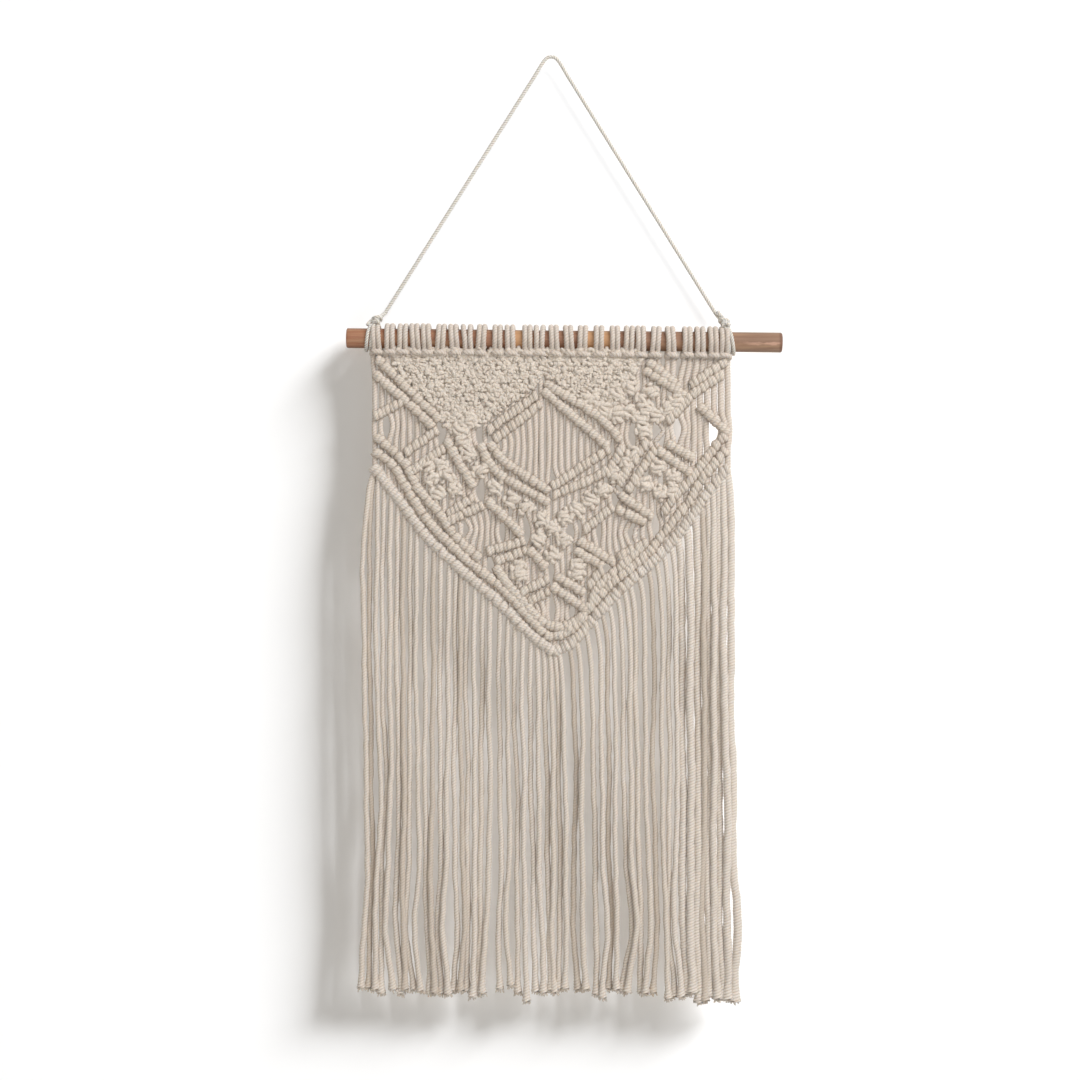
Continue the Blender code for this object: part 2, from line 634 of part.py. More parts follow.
def make_hanger_knot(name, turn_x, runs, collection, operands, material):
    """The hanger's turn round the dowel, drawn up to its knot and joined to the knot's own runs of cord."""
    turn = np.arange(TURN_STEPS) * 2 * math.pi / TURN_STEPS
    up = np.exp(-(np.minimum(turn, 2 * math.pi - turn) / 0.55) ** 2)
    cord = HANGER_DIAMETER / 2
    radius = DOWEL_DIAMETER / 2 + CLEARANCE + cord + TURN_RISE * up
    knot_x = runs[0][2][0]
    line_x = turn_x + (knot_x - turn_x) * 0.42 * up
    ring = []
    for side in range(6):
        across = cord * math.cos(side * math.pi / 3)
        around = radius + cord * math.sin(side * math.pi / 3)
        height = around * np.cos(turn) - dowel_drop(turn_x)
        ring.append(np.stack([line_x + across, -around * np.sin(turn), height], axis=-1))
    made = ring_loft(name, np.stack(ring, axis=1))
    collection.objects.link(made)
    for number, run in enumerate(runs):
        operand = mesh_from_curve(tube_curve(f"{name}_piece_{number}", [run], 1), operands)
        operand.hide_render = True
        operand.display_type = "WIRE"
    union_all(made, operands)
    finish_object(made, material, 60)


def make_panel(collection, material):
    wanted = []
    for bar in HITCH_BARS:
        wanted += hitch_windows(bar.points)
    for patch in NET_PATCHES:
        wanted += net_windows(patch)
    for knot in SQUARE_KNOTS:
        wanted += knot_windows(knot)
    windows = accepted_windows(wanted, panel_x, {})
    panel = Lattice(panel_x, windows, net_valleys())
    bottoms = [max(joint_ends(index, windows)) for index in range(STRAND_COUNT)]
    bottoms[0], bottoms[-1] = bottoms[1], bottoms[-2]
    for index, bottom in enumerate(bottoms):
        panel.add_strand(index, strand_levels(index, windows, panel_top(index), bottom, None))
    finish_object(panel.make("knotted_panel", collection), material)
    return bottoms


def hem_row(bottoms):
    """The drops of the hem, the last row of hitches: clear of the panel at a strand and beside it."""
    return [max(bottoms[max(index - 1, 0):index + 2]) + HEM_GAP for index in range(STRAND_COUNT)]


def make_fringe(bottoms, collection, material):
    hem = hem_row(bottoms)
    tracks = fringe_tracks(hem)

    def fringe_x(index, drop):
        return np.interp(drop, *tracks[index])

    wanted = []
    for index, (here, there) in enumerate(zip(hem, hem[1:])):
        top, bottom = min(here, there), max(here, there)
        wanted.append((index, top, max(bottom, top + SHALLOW_HITCH)))
    floors = {index: max(bottoms[index:index + 2]) + HEM_GAP for index in range(STRAND_COUNT - 1)}
    windows = accepted_windows(wanted, fringe_x, floors)
    fringe = Lattice(fringe_x, windows, set())
    for index, (drops, _) in enumerate(tracks):
        top = min(joint_ends(index, windows))
        bottom = max(joint_ends(index, windows))
        extra = (bottom + SLIM_OFFSET, *drops[2:-1])
        fringe.add_strand(index, strand_levels(index, windows, top, drops[-1], extra))
    finish_object(fringe.make("fringe", collection), material)


def main():
    clear_scene()
    parts = new_collection("macrame_wall_hanging")
    cotton = make_material("cotton", COTTON)
    cotton_cord = make_material("cotton_cord", COTTON_CORD)
    wood = make_material("wood", WOOD)
    make_dowel(parts, wood)
    make_hanger_cord(parts, cotton_cord)
    left_pieces, right_pieces = new_collection("left_knot_pieces"), new_collection("right_knot_pieces")
    make_hanger_knot("hanger_knot_left", LEFT_TURN_X, LEFT_KNOT, parts, left_pieces, cotton_cord)
    make_hanger_knot("hanger_knot_right", RIGHT_TURN_X, RIGHT_KNOT, parts, right_pieces, cotton_cord)
    for number, centre_x in enumerate(LARKS_HEAD_X, 1):
        make_larks_head(number, centre_x, parts, cotton)
    bottoms = make_panel(parts, cotton)
    make_fringe(bottoms, parts, cotton)


main()
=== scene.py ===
# Macrame wall hanging: cotton cord knotted on a wooden rod, hung from a thin cord over a nail.
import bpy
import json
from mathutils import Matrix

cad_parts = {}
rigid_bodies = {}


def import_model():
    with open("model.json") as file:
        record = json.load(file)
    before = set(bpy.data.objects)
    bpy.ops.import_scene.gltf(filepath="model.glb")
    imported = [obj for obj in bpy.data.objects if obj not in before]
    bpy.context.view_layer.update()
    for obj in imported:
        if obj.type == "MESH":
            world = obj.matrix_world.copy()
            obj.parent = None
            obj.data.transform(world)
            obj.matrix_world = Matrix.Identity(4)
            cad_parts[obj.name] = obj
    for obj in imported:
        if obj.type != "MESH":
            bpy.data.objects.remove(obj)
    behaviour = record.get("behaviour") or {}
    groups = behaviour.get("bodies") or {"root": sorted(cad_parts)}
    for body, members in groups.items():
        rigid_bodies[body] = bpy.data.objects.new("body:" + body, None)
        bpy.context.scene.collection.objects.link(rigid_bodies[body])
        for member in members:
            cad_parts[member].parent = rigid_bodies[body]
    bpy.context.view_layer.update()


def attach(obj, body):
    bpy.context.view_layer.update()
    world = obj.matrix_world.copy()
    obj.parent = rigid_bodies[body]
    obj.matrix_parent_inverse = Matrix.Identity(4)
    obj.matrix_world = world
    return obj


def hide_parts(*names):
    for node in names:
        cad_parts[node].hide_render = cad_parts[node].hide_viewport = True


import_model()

import json
import math

import bpy
import numpy as np

mm = 0.001
roll = np.random.default_rng(11)   # every uneven thing below comes from this one seeded source

# The camera looks straight on; drops are measured down from the inside of the hanger's bend, in millimetres.
view = {"middleX": -9.1, "middleDrop": 386.6, "width": 864.0, "lens": 85.0, "sensor": 36.0, "cordFace": -8.0}


def addObject(name, data):
    # A new object in the scene.
    made = bpy.data.objects.new(name, data)
    bpy.context.scene.collection.objects.link(made)
    return made


def placeCamera():
    # The distance is the picture's width times lens over sensor, from the face of the cords.
    camera = bpy.data.cameras.new("camera")
    camera.lens = view["lens"]
    camera.sensor_width = view["sensor"]
    away = view["width"] * view["lens"] / view["sensor"] - view["cordFace"]
    holder = addObject("camera", camera)
    holder.location = (view["middleX"] * mm, -away * mm, -view["middleDrop"] * mm)
    holder.rotation_euler = (math.pi / 2, 0, 0)
    bpy.context.scene.camera = holder


placeCamera()
print("camera set")


# Shapes are worked out in millimetres as x right, y back, z up.
def unit(vectors):
    # Each vector over its own length.
    return vectors / np.maximum(np.linalg.norm(vectors, axis=-1, keepdims=True), 1e-9)


def lengthAlong(points):
    # The length of the line up to each of its points.
    return np.concatenate([[0.0], np.cumsum(np.linalg.norm(np.diff(points, axis=0), axis=1))])


def smoothValue(at, knots, values):
    # The cubic through (knots, values) at each place, with slopes from the neighbours.
    knots, values = np.asarray(knots, float), np.asarray(values, float)
    column = (-1,) + (1,) * (values.ndim - 1)
    slopes = np.gradient(values, knots, axis=0)
    piece = np.clip(np.searchsorted(knots, at, side="right") - 1, 0, len(knots) - 2)
    span = (knots[piece + 1] - knots[piece]).reshape(column)
    t = np.clip((at - knots[piece]).reshape(column) / span, 0, 1)
    return ((2 * t ** 3 - 3 * t ** 2 + 1) * values[piece] + (t ** 3 - 2 * t ** 2 + t) * span * slopes[piece]
            + (3 * t ** 2 - 2 * t ** 3) * values[piece + 1] + (t ** 3 - t ** 2) * span * slopes[piece + 1])


def takeAt(at, run, line):
    # The line's point at each length along it.
    return np.stack([np.interp(at, run, line[:, axis]) for axis in range(line.shape[1])], axis=1)


def smoothPath(points, spacing):
    # A cubic line through the points, then evened by length.
    points = np.asarray(points, float)
    knots = lengthAlong(points)
    line = smoothValue(np.linspace(0, knots[-1], len(points) * 24), knots, points)
    run = lengthAlong(line)
    return takeAt(np.linspace(0, run[-1], max(int(round(run[-1] / spacing)), 2) + 1), run, line)


class Pile:
    # Gathers blocks of points and faces with their yarn coordinates and tints, and makes one mesh of them.
    def __init__(self):
        self.points, self.tints, self.faces, self.maps = [], [], [], []
        self.total = 0

    def add(self, points, tints, faces, maps):
        # faces and maps are lists of arrays: the corners' indices, and two yarn coordinates for each corner
        self.points.append(points.reshape(-1, 3))
        self.tints.append(np.broadcast_to(tints, points.shape[:-1]).reshape(-1))
        for face, places in zip(faces, maps):
            self.faces.append(face.reshape(-1, face.shape[-1]) + self.total)
            self.maps.append(places.reshape(-1, 2))
        self.total += points.size // 3

    def make(self, name, material, nodes):
        # One mesh of all the blocks, which rides on the body and stands for its CAD nodes.
        corners = np.concatenate([face.reshape(-1) for face in self.faces]).astype(np.int32)
        sizes = np.concatenate([np.full(len(face), face.shape[1]) for face in self.faces])
        starts = np.concatenate([[0], np.cumsum(sizes)[:-1]]).astype(np.int32)
        mesh = bpy.data.meshes.new(name)
        mesh.vertices.add(self.total)
        mesh.vertices.foreach_set("co", (np.concatenate(self.points) * mm).astype(np.float32).reshape(-1))
        mesh.loops.add(len(corners))
        mesh.loops.foreach_set("vertex_index", corners)
        mesh.polygons.add(len(sizes))
        mesh.polygons.foreach_set("loop_start", starts)
        mesh.polygons.foreach_set("use_smooth", np.ones(len(sizes), bool))
        mesh.update(calc_edges=True)
        yarn = mesh.uv_layers.new(name="yarn")
        yarn.data.foreach_set("uv", np.concatenate(self.maps).astype(np.float32).reshape(-1))
        tint = mesh.attributes.new("tint", "FLOAT", "POINT")
        tint.data.foreach_set("value", np.concatenate(self.tints).astype(np.float32))
        mesh.validate()
        mesh.materials.append(material)
        piece = addObject(name, mesh)
        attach(piece, "root")
        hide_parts(*nodes)
        return piece


def tubeFaces(count, rings, sides):
    # Tubes of rings × sides points, then two tips for each: the side faces and the fans at both ends.
    index = np.arange(count * rings * sides).reshape(count, rings, sides)
    following = np.roll(index, -1, axis=2)
    quads = np.stack([index[:, :-1], following[:, :-1], following[:, 1:], index[:, 1:]], axis=-1)
    tips = np.broadcast_to(index.size + 2 * np.arange(count)[:, None], (count, sides))
    starts = np.stack([tips, following[:, 0], index[:, 0]], axis=-1)
    ends = np.stack([tips + 1, index[:, -1], following[:, -1]], axis=-1)
    return [quads, starts, ends]


twist = {"pitch": 7.0, "thinPitch": 6.6, "spacing": 1.3, "groove": 0.85}
forward = (0.0, -1.0, 0.0)


def layCords(pile, paths, radius, phases, tints, reference=forward, pitch=twist["pitch"], sides=9,
             turning=True):
    # A cord on each path: point = path + side·r·cos(a) + other·r·sin(a), where a grows by a turn each
    # pitch, so that the three plies of the section wind round the path. Fans close the ends.
    paths = np.asarray(paths, float)
    paths = paths[None] if paths.ndim == 2 else paths
    count, rings, _ = paths.shape
    tangent = unit(np.gradient(paths, axis=1))
    reference = np.broadcast_to(reference, paths.shape)
    side = unit(reference - (reference * tangent).sum(-1, keepdims=True) * tangent)
    other = np.cross(tangent, side)
    steps = np.linalg.norm(np.diff(paths, axis=1), axis=-1)
    run = np.concatenate([np.zeros((count, 1)), np.cumsum(steps, axis=1)], axis=1)
    around = np.arange(sides) / sides
    wind = run[..., None] / pitch
    phases = np.broadcast_to(phases, (count,))[:, None, None]
    angle = 2 * math.pi * (around + phases + (wind if turning else 0 * wind))
    lobes = np.where(np.arange(sides) % 3 == 0, twist["groove"], 1.0) if sides == 9 else np.ones(sides)
    size = np.broadcast_to(radius, (count, rings))[..., None] * lobes
    points = (paths[:, :, None] + side[:, :, None] * (size * np.cos(angle))[..., None]
              + other[:, :, None] * (size * np.sin(angle))[..., None])
    tips = paths[:, [0, -1]]
    block = rings * sides
    u = np.broadcast_to(around, (count, rings, sides)) + (0 * wind if turning else wind)
    v = np.broadcast_to(run[..., None] * 0.1 + phases * 7, (count, rings, sides))
    near, middle, far = (np.stack([u + share / sides, v], axis=-1) for share in (0, 0.5, 1))
    quadMap = np.stack([near[:, :-1], far[:, :-1], far[:, 1:], near[:, 1:]], axis=-2)
    startMap = np.stack([middle[:, 0], far[:, 0], near[:, 0]], axis=-2)
    endMap = np.stack([middle[:, -1], near[:, -1], far[:, -1]], axis=-2)
    tints = np.broadcast_to(tints, (count,))
    allPoints = np.concatenate([points.reshape(-1, 3), tips.reshape(-1, 3)])
    allTints = np.concatenate([np.repeat(tints, block), np.repeat(tints, 2)])
    pile.add(allPoints, allTints, tubeFaces(count, rings, sides), [quadMap, startMap, endMap])
    return run[:, -1]


def layLoops(pile, centres, across, along, wide, deep, thick, reach, tints):
    # A closed loop of cord round each centre: point = centre + (across·cos(p)·wide + front·sin(p)·deep)
    # + radial·thick·cos(q) + along·reach·sin(q), with p round the loop and q round the cord.
    turn, sides = hitch["loopSteps"], hitch["loopSides"]
    count = len(centres)
    front = np.broadcast_to(forward, centres.shape)
    hand = np.sign((np.cross(across, front) * along).sum(-1, keepdims=True))
    along = along * hand
    p = (2 * math.pi * np.arange(turn) / turn)[None, :, None, None]
    q = (2 * math.pi * np.arange(sides) / sides)[None, None, :, None]
    across, front, along = (vector[:, None, None, :] for vector in (across, front, along))
    wide, deep, thick, reach = (np.reshape(value, (-1, 1, 1, 1)) for value in (wide, deep, thick, reach))
    radial = across * np.cos(p) + front * np.sin(p)
    points = (centres[:, None, None, :] + across * np.cos(p) * wide + front * np.sin(p) * deep
              + radial * thick * np.cos(q) + along * reach * np.sin(q))
    index = np.arange(count * turn * sides).reshape(count, turn, sides)
    later = np.roll(index, -1, axis=1)
    quads = np.stack([index, later, np.roll(later, -1, axis=2), np.roll(index, -1, axis=2)], axis=-1)
    length = 2 * math.pi * (wide + deep)[:, 0, 0, 0] / 2 + 6
    v = np.arange(turn + 1)[None, :, None] / turn * length[:, None, None] / 10
    v = v + np.arange(count)[:, None, None] * 0.37
    u = np.arange(sides + 1)[None, None, :] / sides + v * 10 / twist["pitch"]
    v = np.broadcast_to(v, u.shape)
    both = np.stack([u, v], axis=-1)
    maps = np.stack([both[:, :-1, :-1], both[:, 1:, :-1], both[:, 1:, 1:], both[:, :-1, 1:]], axis=-2)
    spread = np.broadcast_to(np.reshape(tints, (-1, 1, 1)), (count, turn, sides))
    pile.add(points, spread, [quads], [maps])


def mathStep(operation, swapped=False):
    # An operator of Wire: it adds one Math node.
    def step(self, other):
        return self.maker.math(operation, *((other, self) if swapped else (self, other)))
    return step


class Wire:
    # One output socket; an expression on it adds the Math nodes.
    def __init__(self, maker, socket):
        self.maker, self.socket = maker, socket

    def out(self, name):
        return Wire(self.maker, self.socket.node.outputs[name])

    __add__ = __radd__ = mathStep("ADD")
    __mul__ = __rmul__ = mathStep("MULTIPLY")
    __sub__, __rsub__ = mathStep("SUBTRACT"), mathStep("SUBTRACT", True)
    __pow__ = mathStep("POWER")


class Finish:
    # The nodes of one material or world: node() adds any node, its settings first and then its sockets'
    # values or links.
    def __init__(self, owner):
        owner.use_nodes = True
        self.owner, self.tree = owner, owner.node_tree

    def feed(self, socket, value):
        if isinstance(value, Wire):
            self.tree.links.new(value.socket, socket)
        else:
            socket.default_value = value

    def node(self, kind, settings, sockets):
        made = self.tree.nodes.new(kind)
        for name, value in settings.items():
            setattr(made, name, value)
        for name, value in sockets.items():
            self.feed(made.inputs[name], value)
        return Wire(self, made.outputs[0])

    def math(self, operation, *values):
        return self.node("ShaderNodeMath", {"operation": operation}, dict(enumerate(values)))

    def mix(self, factor, low, high):
        return self.node("ShaderNodeMix", {"data_type": "RGBA"}, {0: factor, 6: low, 7: high}).out(2)

    def clamp(self, value):
        return self.node("ShaderNodeClamp", {}, {"Value": value})

    def spot(self):
        return self.node("ShaderNodeTexCoord", {}, {}).out("Object")

    def stretch(self, vector, scale):
        return self.node("ShaderNodeVectorMath", {"operation": "MULTIPLY"}, {0: vector, 1: scale})

    def noise(self, vector, scale, detail, rough=0.5):
        sockets = {"Vector": vector, "Scale": scale, "Detail": detail, "Roughness": rough}
        return self.node("ShaderNodeTexNoise", {}, sockets)

    def bump(self, height, strength, distance):
        return self.node("ShaderNodeBump", {}, {"Strength": strength, "Distance": distance, "Height": height})

    def surface(self, sockets):
        shader = self.tree.nodes["Principled BSDF"]
        for name, value in sockets.items():
            self.feed(shader.inputs[name], value)
        return Wire(self, shader.outputs[0])

    def show(self, output, split, first, second):
        both = self.node("ShaderNodeMixShader", {}, {0: split, 1: first, 2: second})
        self.feed(self.tree.nodes[output].inputs["Surface"], both)


# colours, then how far each thing changes them; the groove colour is painted shade in the ply grooves and the
# shade colour is painted shade in recesses and on the darkened strands; the hollow setting gives where that
# painted shade starts and is full behind the front, where it ends, and how strong it is
cotton = {
    "light": (0.70, 0.632, 0.574, 1), "warm": (0.62, 0.545, 0.475, 1), "groove": (0.44, 0.36, 0.285, 1),
    "paintedShade": (0.24, 0.17, 0.11, 1), "ply": 0.6, "fine": 0.1, "patchy": 0.7, "tinted": 0.8, "fibred": 0.6,
    "paintedShadeShare": 0.17, "hollowFade": 1500.0, "rough": 0.95, "sheen": 0.1, "bump": 0.8, "bumpDepth": 0.0003,
    "scatter": 0.45, "scatterDepth": 0.0011,
}
panelLight = (0.70, 0.632, 0.56, 1)
# colours and how strong each is, how far grain and pores are stretched, and where the patches lie in metres;
# middle and slope give the rod's own middle line; one dark colour, from a set distance off that line
# outwards, is painted shade along the rod's upper and lower edges
wood = {
    "left": (0.335, 0.138, 0.07, 1), "right": (0.30, 0.18, 0.114, 1), "rough": 0.58,
    "dark": (0.15, 0.066, 0.038, 1), "grainScale": (14.0, 210.0, 210.0), "lineShare": 0.6,
    "poreScale": (60.0, 900.0, 900.0), "poreShare": 0.35, "pale": (0.43, 0.28, 0.165, 1), "paleShare": 0.65,
    "tan": (0.52, 0.29, 0.14, 1), "tanShare": 0.8, "tanAt": (-0.0265, 0.0309, 0.0443), "tanHalf": 0.0065,
    "streak": (0.55, 0.33, 0.24, 1), "streakShare": 0.75, "streakDrop": 0.0014, "streakHalf": 0.0011,
    "streakFrom": 0.149, "paintedEdgeShade": (0.2, 0.125, 0.07, 1), "paintedEdgeShadeShare": 0.7, "paintedEdgeShadeFrom": 0.0062, "tipShare": 0.75,
    "tipFrom": 0.1820, "middle": 0.22619, "slope": 0.01029,
}


def cottonFinish(name, **changes):
    # Three soft grooves and six fine lines a turn from the yarn map, painted darker as shade and sunk in the
    # bump, fibres as stretched noise, slow warm patches and a tint for each cord.
    look = dict(cotton, **changes)
    made = Finish(bpy.data.materials.new(name))
    yarn = made.node("ShaderNodeUVMap", {"uv_map": "yarn"}, {})
    split = made.node("ShaderNodeSeparateXYZ", {}, {"Vector": yarn})
    u, v = split.out("X"), split.out("Y")
    groove = (made.math("COSINE", u * (6 * math.pi)) * 0.5 + 0.5) ** 3.0
    line = (made.math("COSINE", u * (12 * math.pi)) * 0.5 + 0.5) ** 1.6
    tint = made.node("ShaderNodeAttribute", {"attribute_name": "tint"}, {}).out("Fac")
    fibreAt = made.node("ShaderNodeCombineXYZ", {}, {"X": u * 14.0, "Y": v * 5.0, "Z": tint * 40.0})
    fibre = made.noise(fibreAt, 1.6, 3.0, 0.65)
    spot = made.spot()
    patch = made.noise(spot, 28.0, 2.0)
    warm = patch * look["patchy"] - 0.1 + (tint - 0.5) * look["tinted"] + (fibre - 0.5) * look["fibred"]
    base = made.mix(made.clamp(warm), look["light"], look["warm"])
    # painted shade: the groove colour darkens the ply grooves and the fine lines
    colour = made.mix(groove * look["ply"] + line * look["fine"], base, look["groove"])
    # painted shade on the strands with a tint of 1
    colour = made.mix(made.clamp((tint - 0.9) * 10.0) * look["paintedShadeShare"], colour, look["paintedShade"])
    # painted shade: surfaces further back, in the recesses between loops and curls, darken towards the shade
    # colour and clear again at the back
    if "hollow" in look:
        front, back, end, most = look["hollow"]
        depth = made.node("ShaderNodeSeparateXYZ", {}, {"Vector": spot}).out("Y")
        paintedShade = made.clamp((depth - front) * (1 / (back - front)))
        inside = made.clamp((end - depth) * look["hollowFade"] + 1.0)
        colour = made.mix(paintedShade * inside * most, colour, look["paintedShade"])
    height = (1 - groove) * 0.35 + (1 - line) * 0.35 + fibre * 0.45
    bump = made.bump(height, look["bump"], look["bumpDepth"])
    made.surface({"Base Color": colour, "Roughness": look["rough"], "Normal": bump,
                  "Sheen Weight": look["sheen"], "Sheen Roughness": 0.5, "Specular IOR Level": 0.1,
                  "Subsurface Weight": look["scatter"], "Subsurface Radius": (1.0, 0.8, 0.6),
                  "Subsurface Scale": look["scatterDepth"]})
    return made.owner


def woodFinish(name, look):
    # Grain and pores as noise stretched along the rod, reddish at the left and greyer at the right; tan
    # patches, a pale broken streak near the right end, a darker tip, and painted shade along the rod's upper
    # and lower edges.
    made = Finish(bpy.data.materials.new(name))
    spot = made.spot()
    grain = made.noise(made.stretch(spot, look["grainScale"]), 1.0, 5.0, 0.6)
    pore = made.noise(made.stretch(spot, look["poreScale"]), 1.0, 3.0, 0.6)
    parts = made.node("ShaderNodeSeparateXYZ", {}, {"Vector": spot})
    x, z = parts.out("X"), parts.out("Z")
    colour = made.mix(made.clamp(x * 3.2 + 0.45 + (grain - 0.5) * 0.5), look["left"], look["right"])
    layers = [((grain - 0.42) * 3.0, "line"), ((0.5 - grain) * 4.0, "pale")]
    blotch = made.noise(spot, 34.0, 1.0) * 1.6 - 0.8
    for place in look["tanAt"]:
        near = 1.6 - made.math("ABSOLUTE", x - place) * (1.3 / look["tanHalf"])
        layers.append((near + blotch, "tan"))
    high = z + look["middle"] + x * look["slope"]
    broken = made.noise(made.stretch(spot, (1.0, 1.0, 3.0)), 120.0, 2.0)
    streak = 1.3 - made.math("ABSOLUTE", high + look["streakDrop"]) * (1.0 / look["streakHalf"])
    streak = made.clamp(streak + (broken - 0.5) * 6.0) * made.clamp((x - look["streakFrom"]) * 60.0)
    # painted shade: the rod's upper and lower edges are darkened
    paintedEdgeShade = (made.math("ABSOLUTE", high) - look["paintedEdgeShadeFrom"]) * 600.0
    layers += [(streak, "streak"), (paintedEdgeShade, "paintedEdgeShade"), ((x - look["tipFrom"]) * 600.0, "tip"),
               ((pore - 0.56) * 5.0, "pore")]
    for amount, name in layers:   # lines, pores and the tip have the dark colour
        tone = look.get(name, look["dark"])
        colour = made.mix(made.clamp(amount) * look[name + "Share"], colour, tone)
    bump = made.bump(grain + pore * 0.6, 0.5, 0.0002)
    made.surface({"Base Color": colour, "Roughness": grain * 0.2 + (look["rough"] - 0.1), "Normal": bump})
    return made.owner


cottonCloth = cottonFinish("cottonCord")
cottonThin = cottonFinish("cottonThinCord", light=(0.76, 0.735, 0.69, 1), warm=(0.66, 0.625, 0.57, 1),
                          groove=(0.36, 0.32, 0.27, 1), ply=0.8)
# the knotted and the hitched cotton take painted shade in their recesses
cottonKnotted = cottonFinish("cottonKnotted", light=panelLight, ply=0.3, scatter=0.3, scatterDepth=0.0005,
                             hollow=(-0.0072, -0.0052, -0.004, 0.15))
cottonHitched = cottonFinish("cottonHitched", light=panelLight, hollow=(-0.0098, -0.0068, -0.0055, 0.75))
# the heads' cord painted darker all over: painted shade, as their tops catch the lamps from above
cottonHeadsPaintedShade = cottonFinish("cottonHeadsPaintedShade", light=(0.64, 0.578, 0.525, 1), warm=(0.58, 0.51, 0.445, 1))
cottonFringe = cottonFinish("cottonFringe", light=(0.71, 0.652, 0.595, 1), warm=(0.625, 0.56, 0.49, 1))
woodOiled = woodFinish("oiledWood", wood)
print("finishes made")


# the hanger: one thin cord, from the left knot over the nail to the right knot
hanger = {"radius": 1.5, "bend": 6.4, "leftEnd": (-133.4, 204.2), "rightEnd": (131.9, 204.6), "spacing": 0.9}


def hangerLine():
    # Two straight legs and an arc over the nail, each point as x, y, z.
    left = math.atan2(-hanger["leftEnd"][0], hanger["leftEnd"][1])
    right = math.atan2(hanger["rightEnd"][0], hanger["rightEnd"][1])
    angles = np.linspace(left - math.pi / 2, math.pi / 2 - right, 9)
    drop = hanger["bend"] * (1 - np.cos(angles)) - hanger["radius"]
    arc = np.column_stack([hanger["bend"] * np.sin(angles), 0 * angles, -drop])
    share = np.linspace(0, 1, 18)[:, None]
    legs = [np.array([end[0], 0, -end[1]]) * (1 - share) + tip * share
            for end, tip in ((hanger["leftEnd"], arc[0]), (hanger["rightEnd"], arc[-1]))]
    return np.concatenate([legs[0][:-1], arc, legs[1][::-1][1:]])


hangerPath = smoothPath(hangerLine(), hanger["spacing"])
pile = Pile()
hangerLength = layCords(pile, hangerPath, hanger["radius"] * 1.04, 0.0, 0.45, pitch=twist["thinPitch"])[0]
hangerCord = pile.make("hangerCord", cottonThin, ["hanger_cord"])
print("hanger cord laid, length", round(hangerLength, 1), "mm")

rod = {"radius": 8.0, "left": -164.5, "right": 185.3, "leftDrop": 224.5, "rightDrop": 228.1, "edge": 1.6,
       "wander": 0.12, "sides": 64, "rings": 90}


def rodDrop(x):
    share = (x - rod["left"]) / (rod["right"] - rod["left"])
    return rod["leftDrop"] + share * (rod["rightDrop"] - rod["leftDrop"])


def makeRod():
    # A profile of radii turned about the rod's axis, with a slow wander of the radius, then tilted.
    half = math.hypot(rod["right"] - rod["left"], rod["rightDrop"] - rod["leftDrop"]) / 2
    corner = np.linspace(0, math.pi / 2, 6)
    edge = rod["edge"]
    inset = np.concatenate([[0.0, 2.7, 5.3], rod["radius"] - edge + edge * np.sin(corner)])
    reach = np.concatenate([[half] * 3, half - edge + edge * np.cos(corner)])
    body = np.linspace(half - edge, -half + edge, rod["rings"])[1:-1]
    radii = np.concatenate([inset, np.full(len(body), rod["radius"]), inset[::-1]])
    x = -np.concatenate([reach, body, -reach[::-1]])
    angle = 2 * math.pi * np.arange(rod["sides"]) / rod["sides"]
    ripple = np.sin(3 * angle[None, :] + x[:, None] / 40) * (radii[:, None] / rod["radius"]) ** 3
    radii = np.minimum(radii[:, None] + rod["wander"] * ripple, rod["radius"])
    tilt = math.atan2(rod["rightDrop"] - rod["leftDrop"], rod["right"] - rod["left"])
    middle = (rod["left"] + rod["right"]) / 2
    long, up = x[:, None] + 0 * radii, radii * np.sin(angle)
    points = np.stack([middle + long * math.cos(tilt) + up * math.sin(tilt), radii * np.cos(angle),
                       -rodDrop(middle) - long * math.sin(tilt) + up * math.cos(tilt)], axis=-1)[1:-1]
    ends = np.stack([points[0].mean(0), points[-1].mean(0)])
    rings, sides, _ = points.shape
    pile = Pile()
    faces = tubeFaces(1, rings, sides)
    maps = [np.zeros(face.shape + (2,)) for face in faces]
    pile.add(np.concatenate([points.reshape(-1, 3), ends]), 0.5, faces, maps)
    pile.make("rod", woodOiled, ["dowel"])


makeRod()
print("rod turned")

# the larks' heads, one doubled cord each
heads = {
    "x": (-140.5, -129.4, -119.0, -109.0, -100.1, -88.6, -77.9, -67.1, -56.1, -43.2, -33.0, -19.2, -9.6,
          2.2, 14.0, 25.0, 38.0, 51.0, 62.2, 71.6, 83.6, 95.7, 109.0, 119.2, 129.8, 138.7),
    "radius": 2.22, "lean": 0.8, "open": {7: 0.35, 12: 0.28},
    # half of one head from its strand up the front, over the rod, down behind and into the bar: x, y, z
    "half": ((-2.4, -6.0, -15.0), (-2.3, -6.4, -11.5), (-2.15, -7.6, -7.4), (-2.02, -10.4, 0.0),
             (-2.02, -7.4, 7.4), (-2.1, 0.0, 10.4), (-2.2, 7.4, 7.4), (-2.3, 10.4, 0.0), (-2.8, 7.2, -7.6),
             (-3.5, 1.0, -11.4), (-4.2, -5.4, -12.8), (-3.5, -9.0, -11.8), (-1.6, -10.5, -11.3)),
}


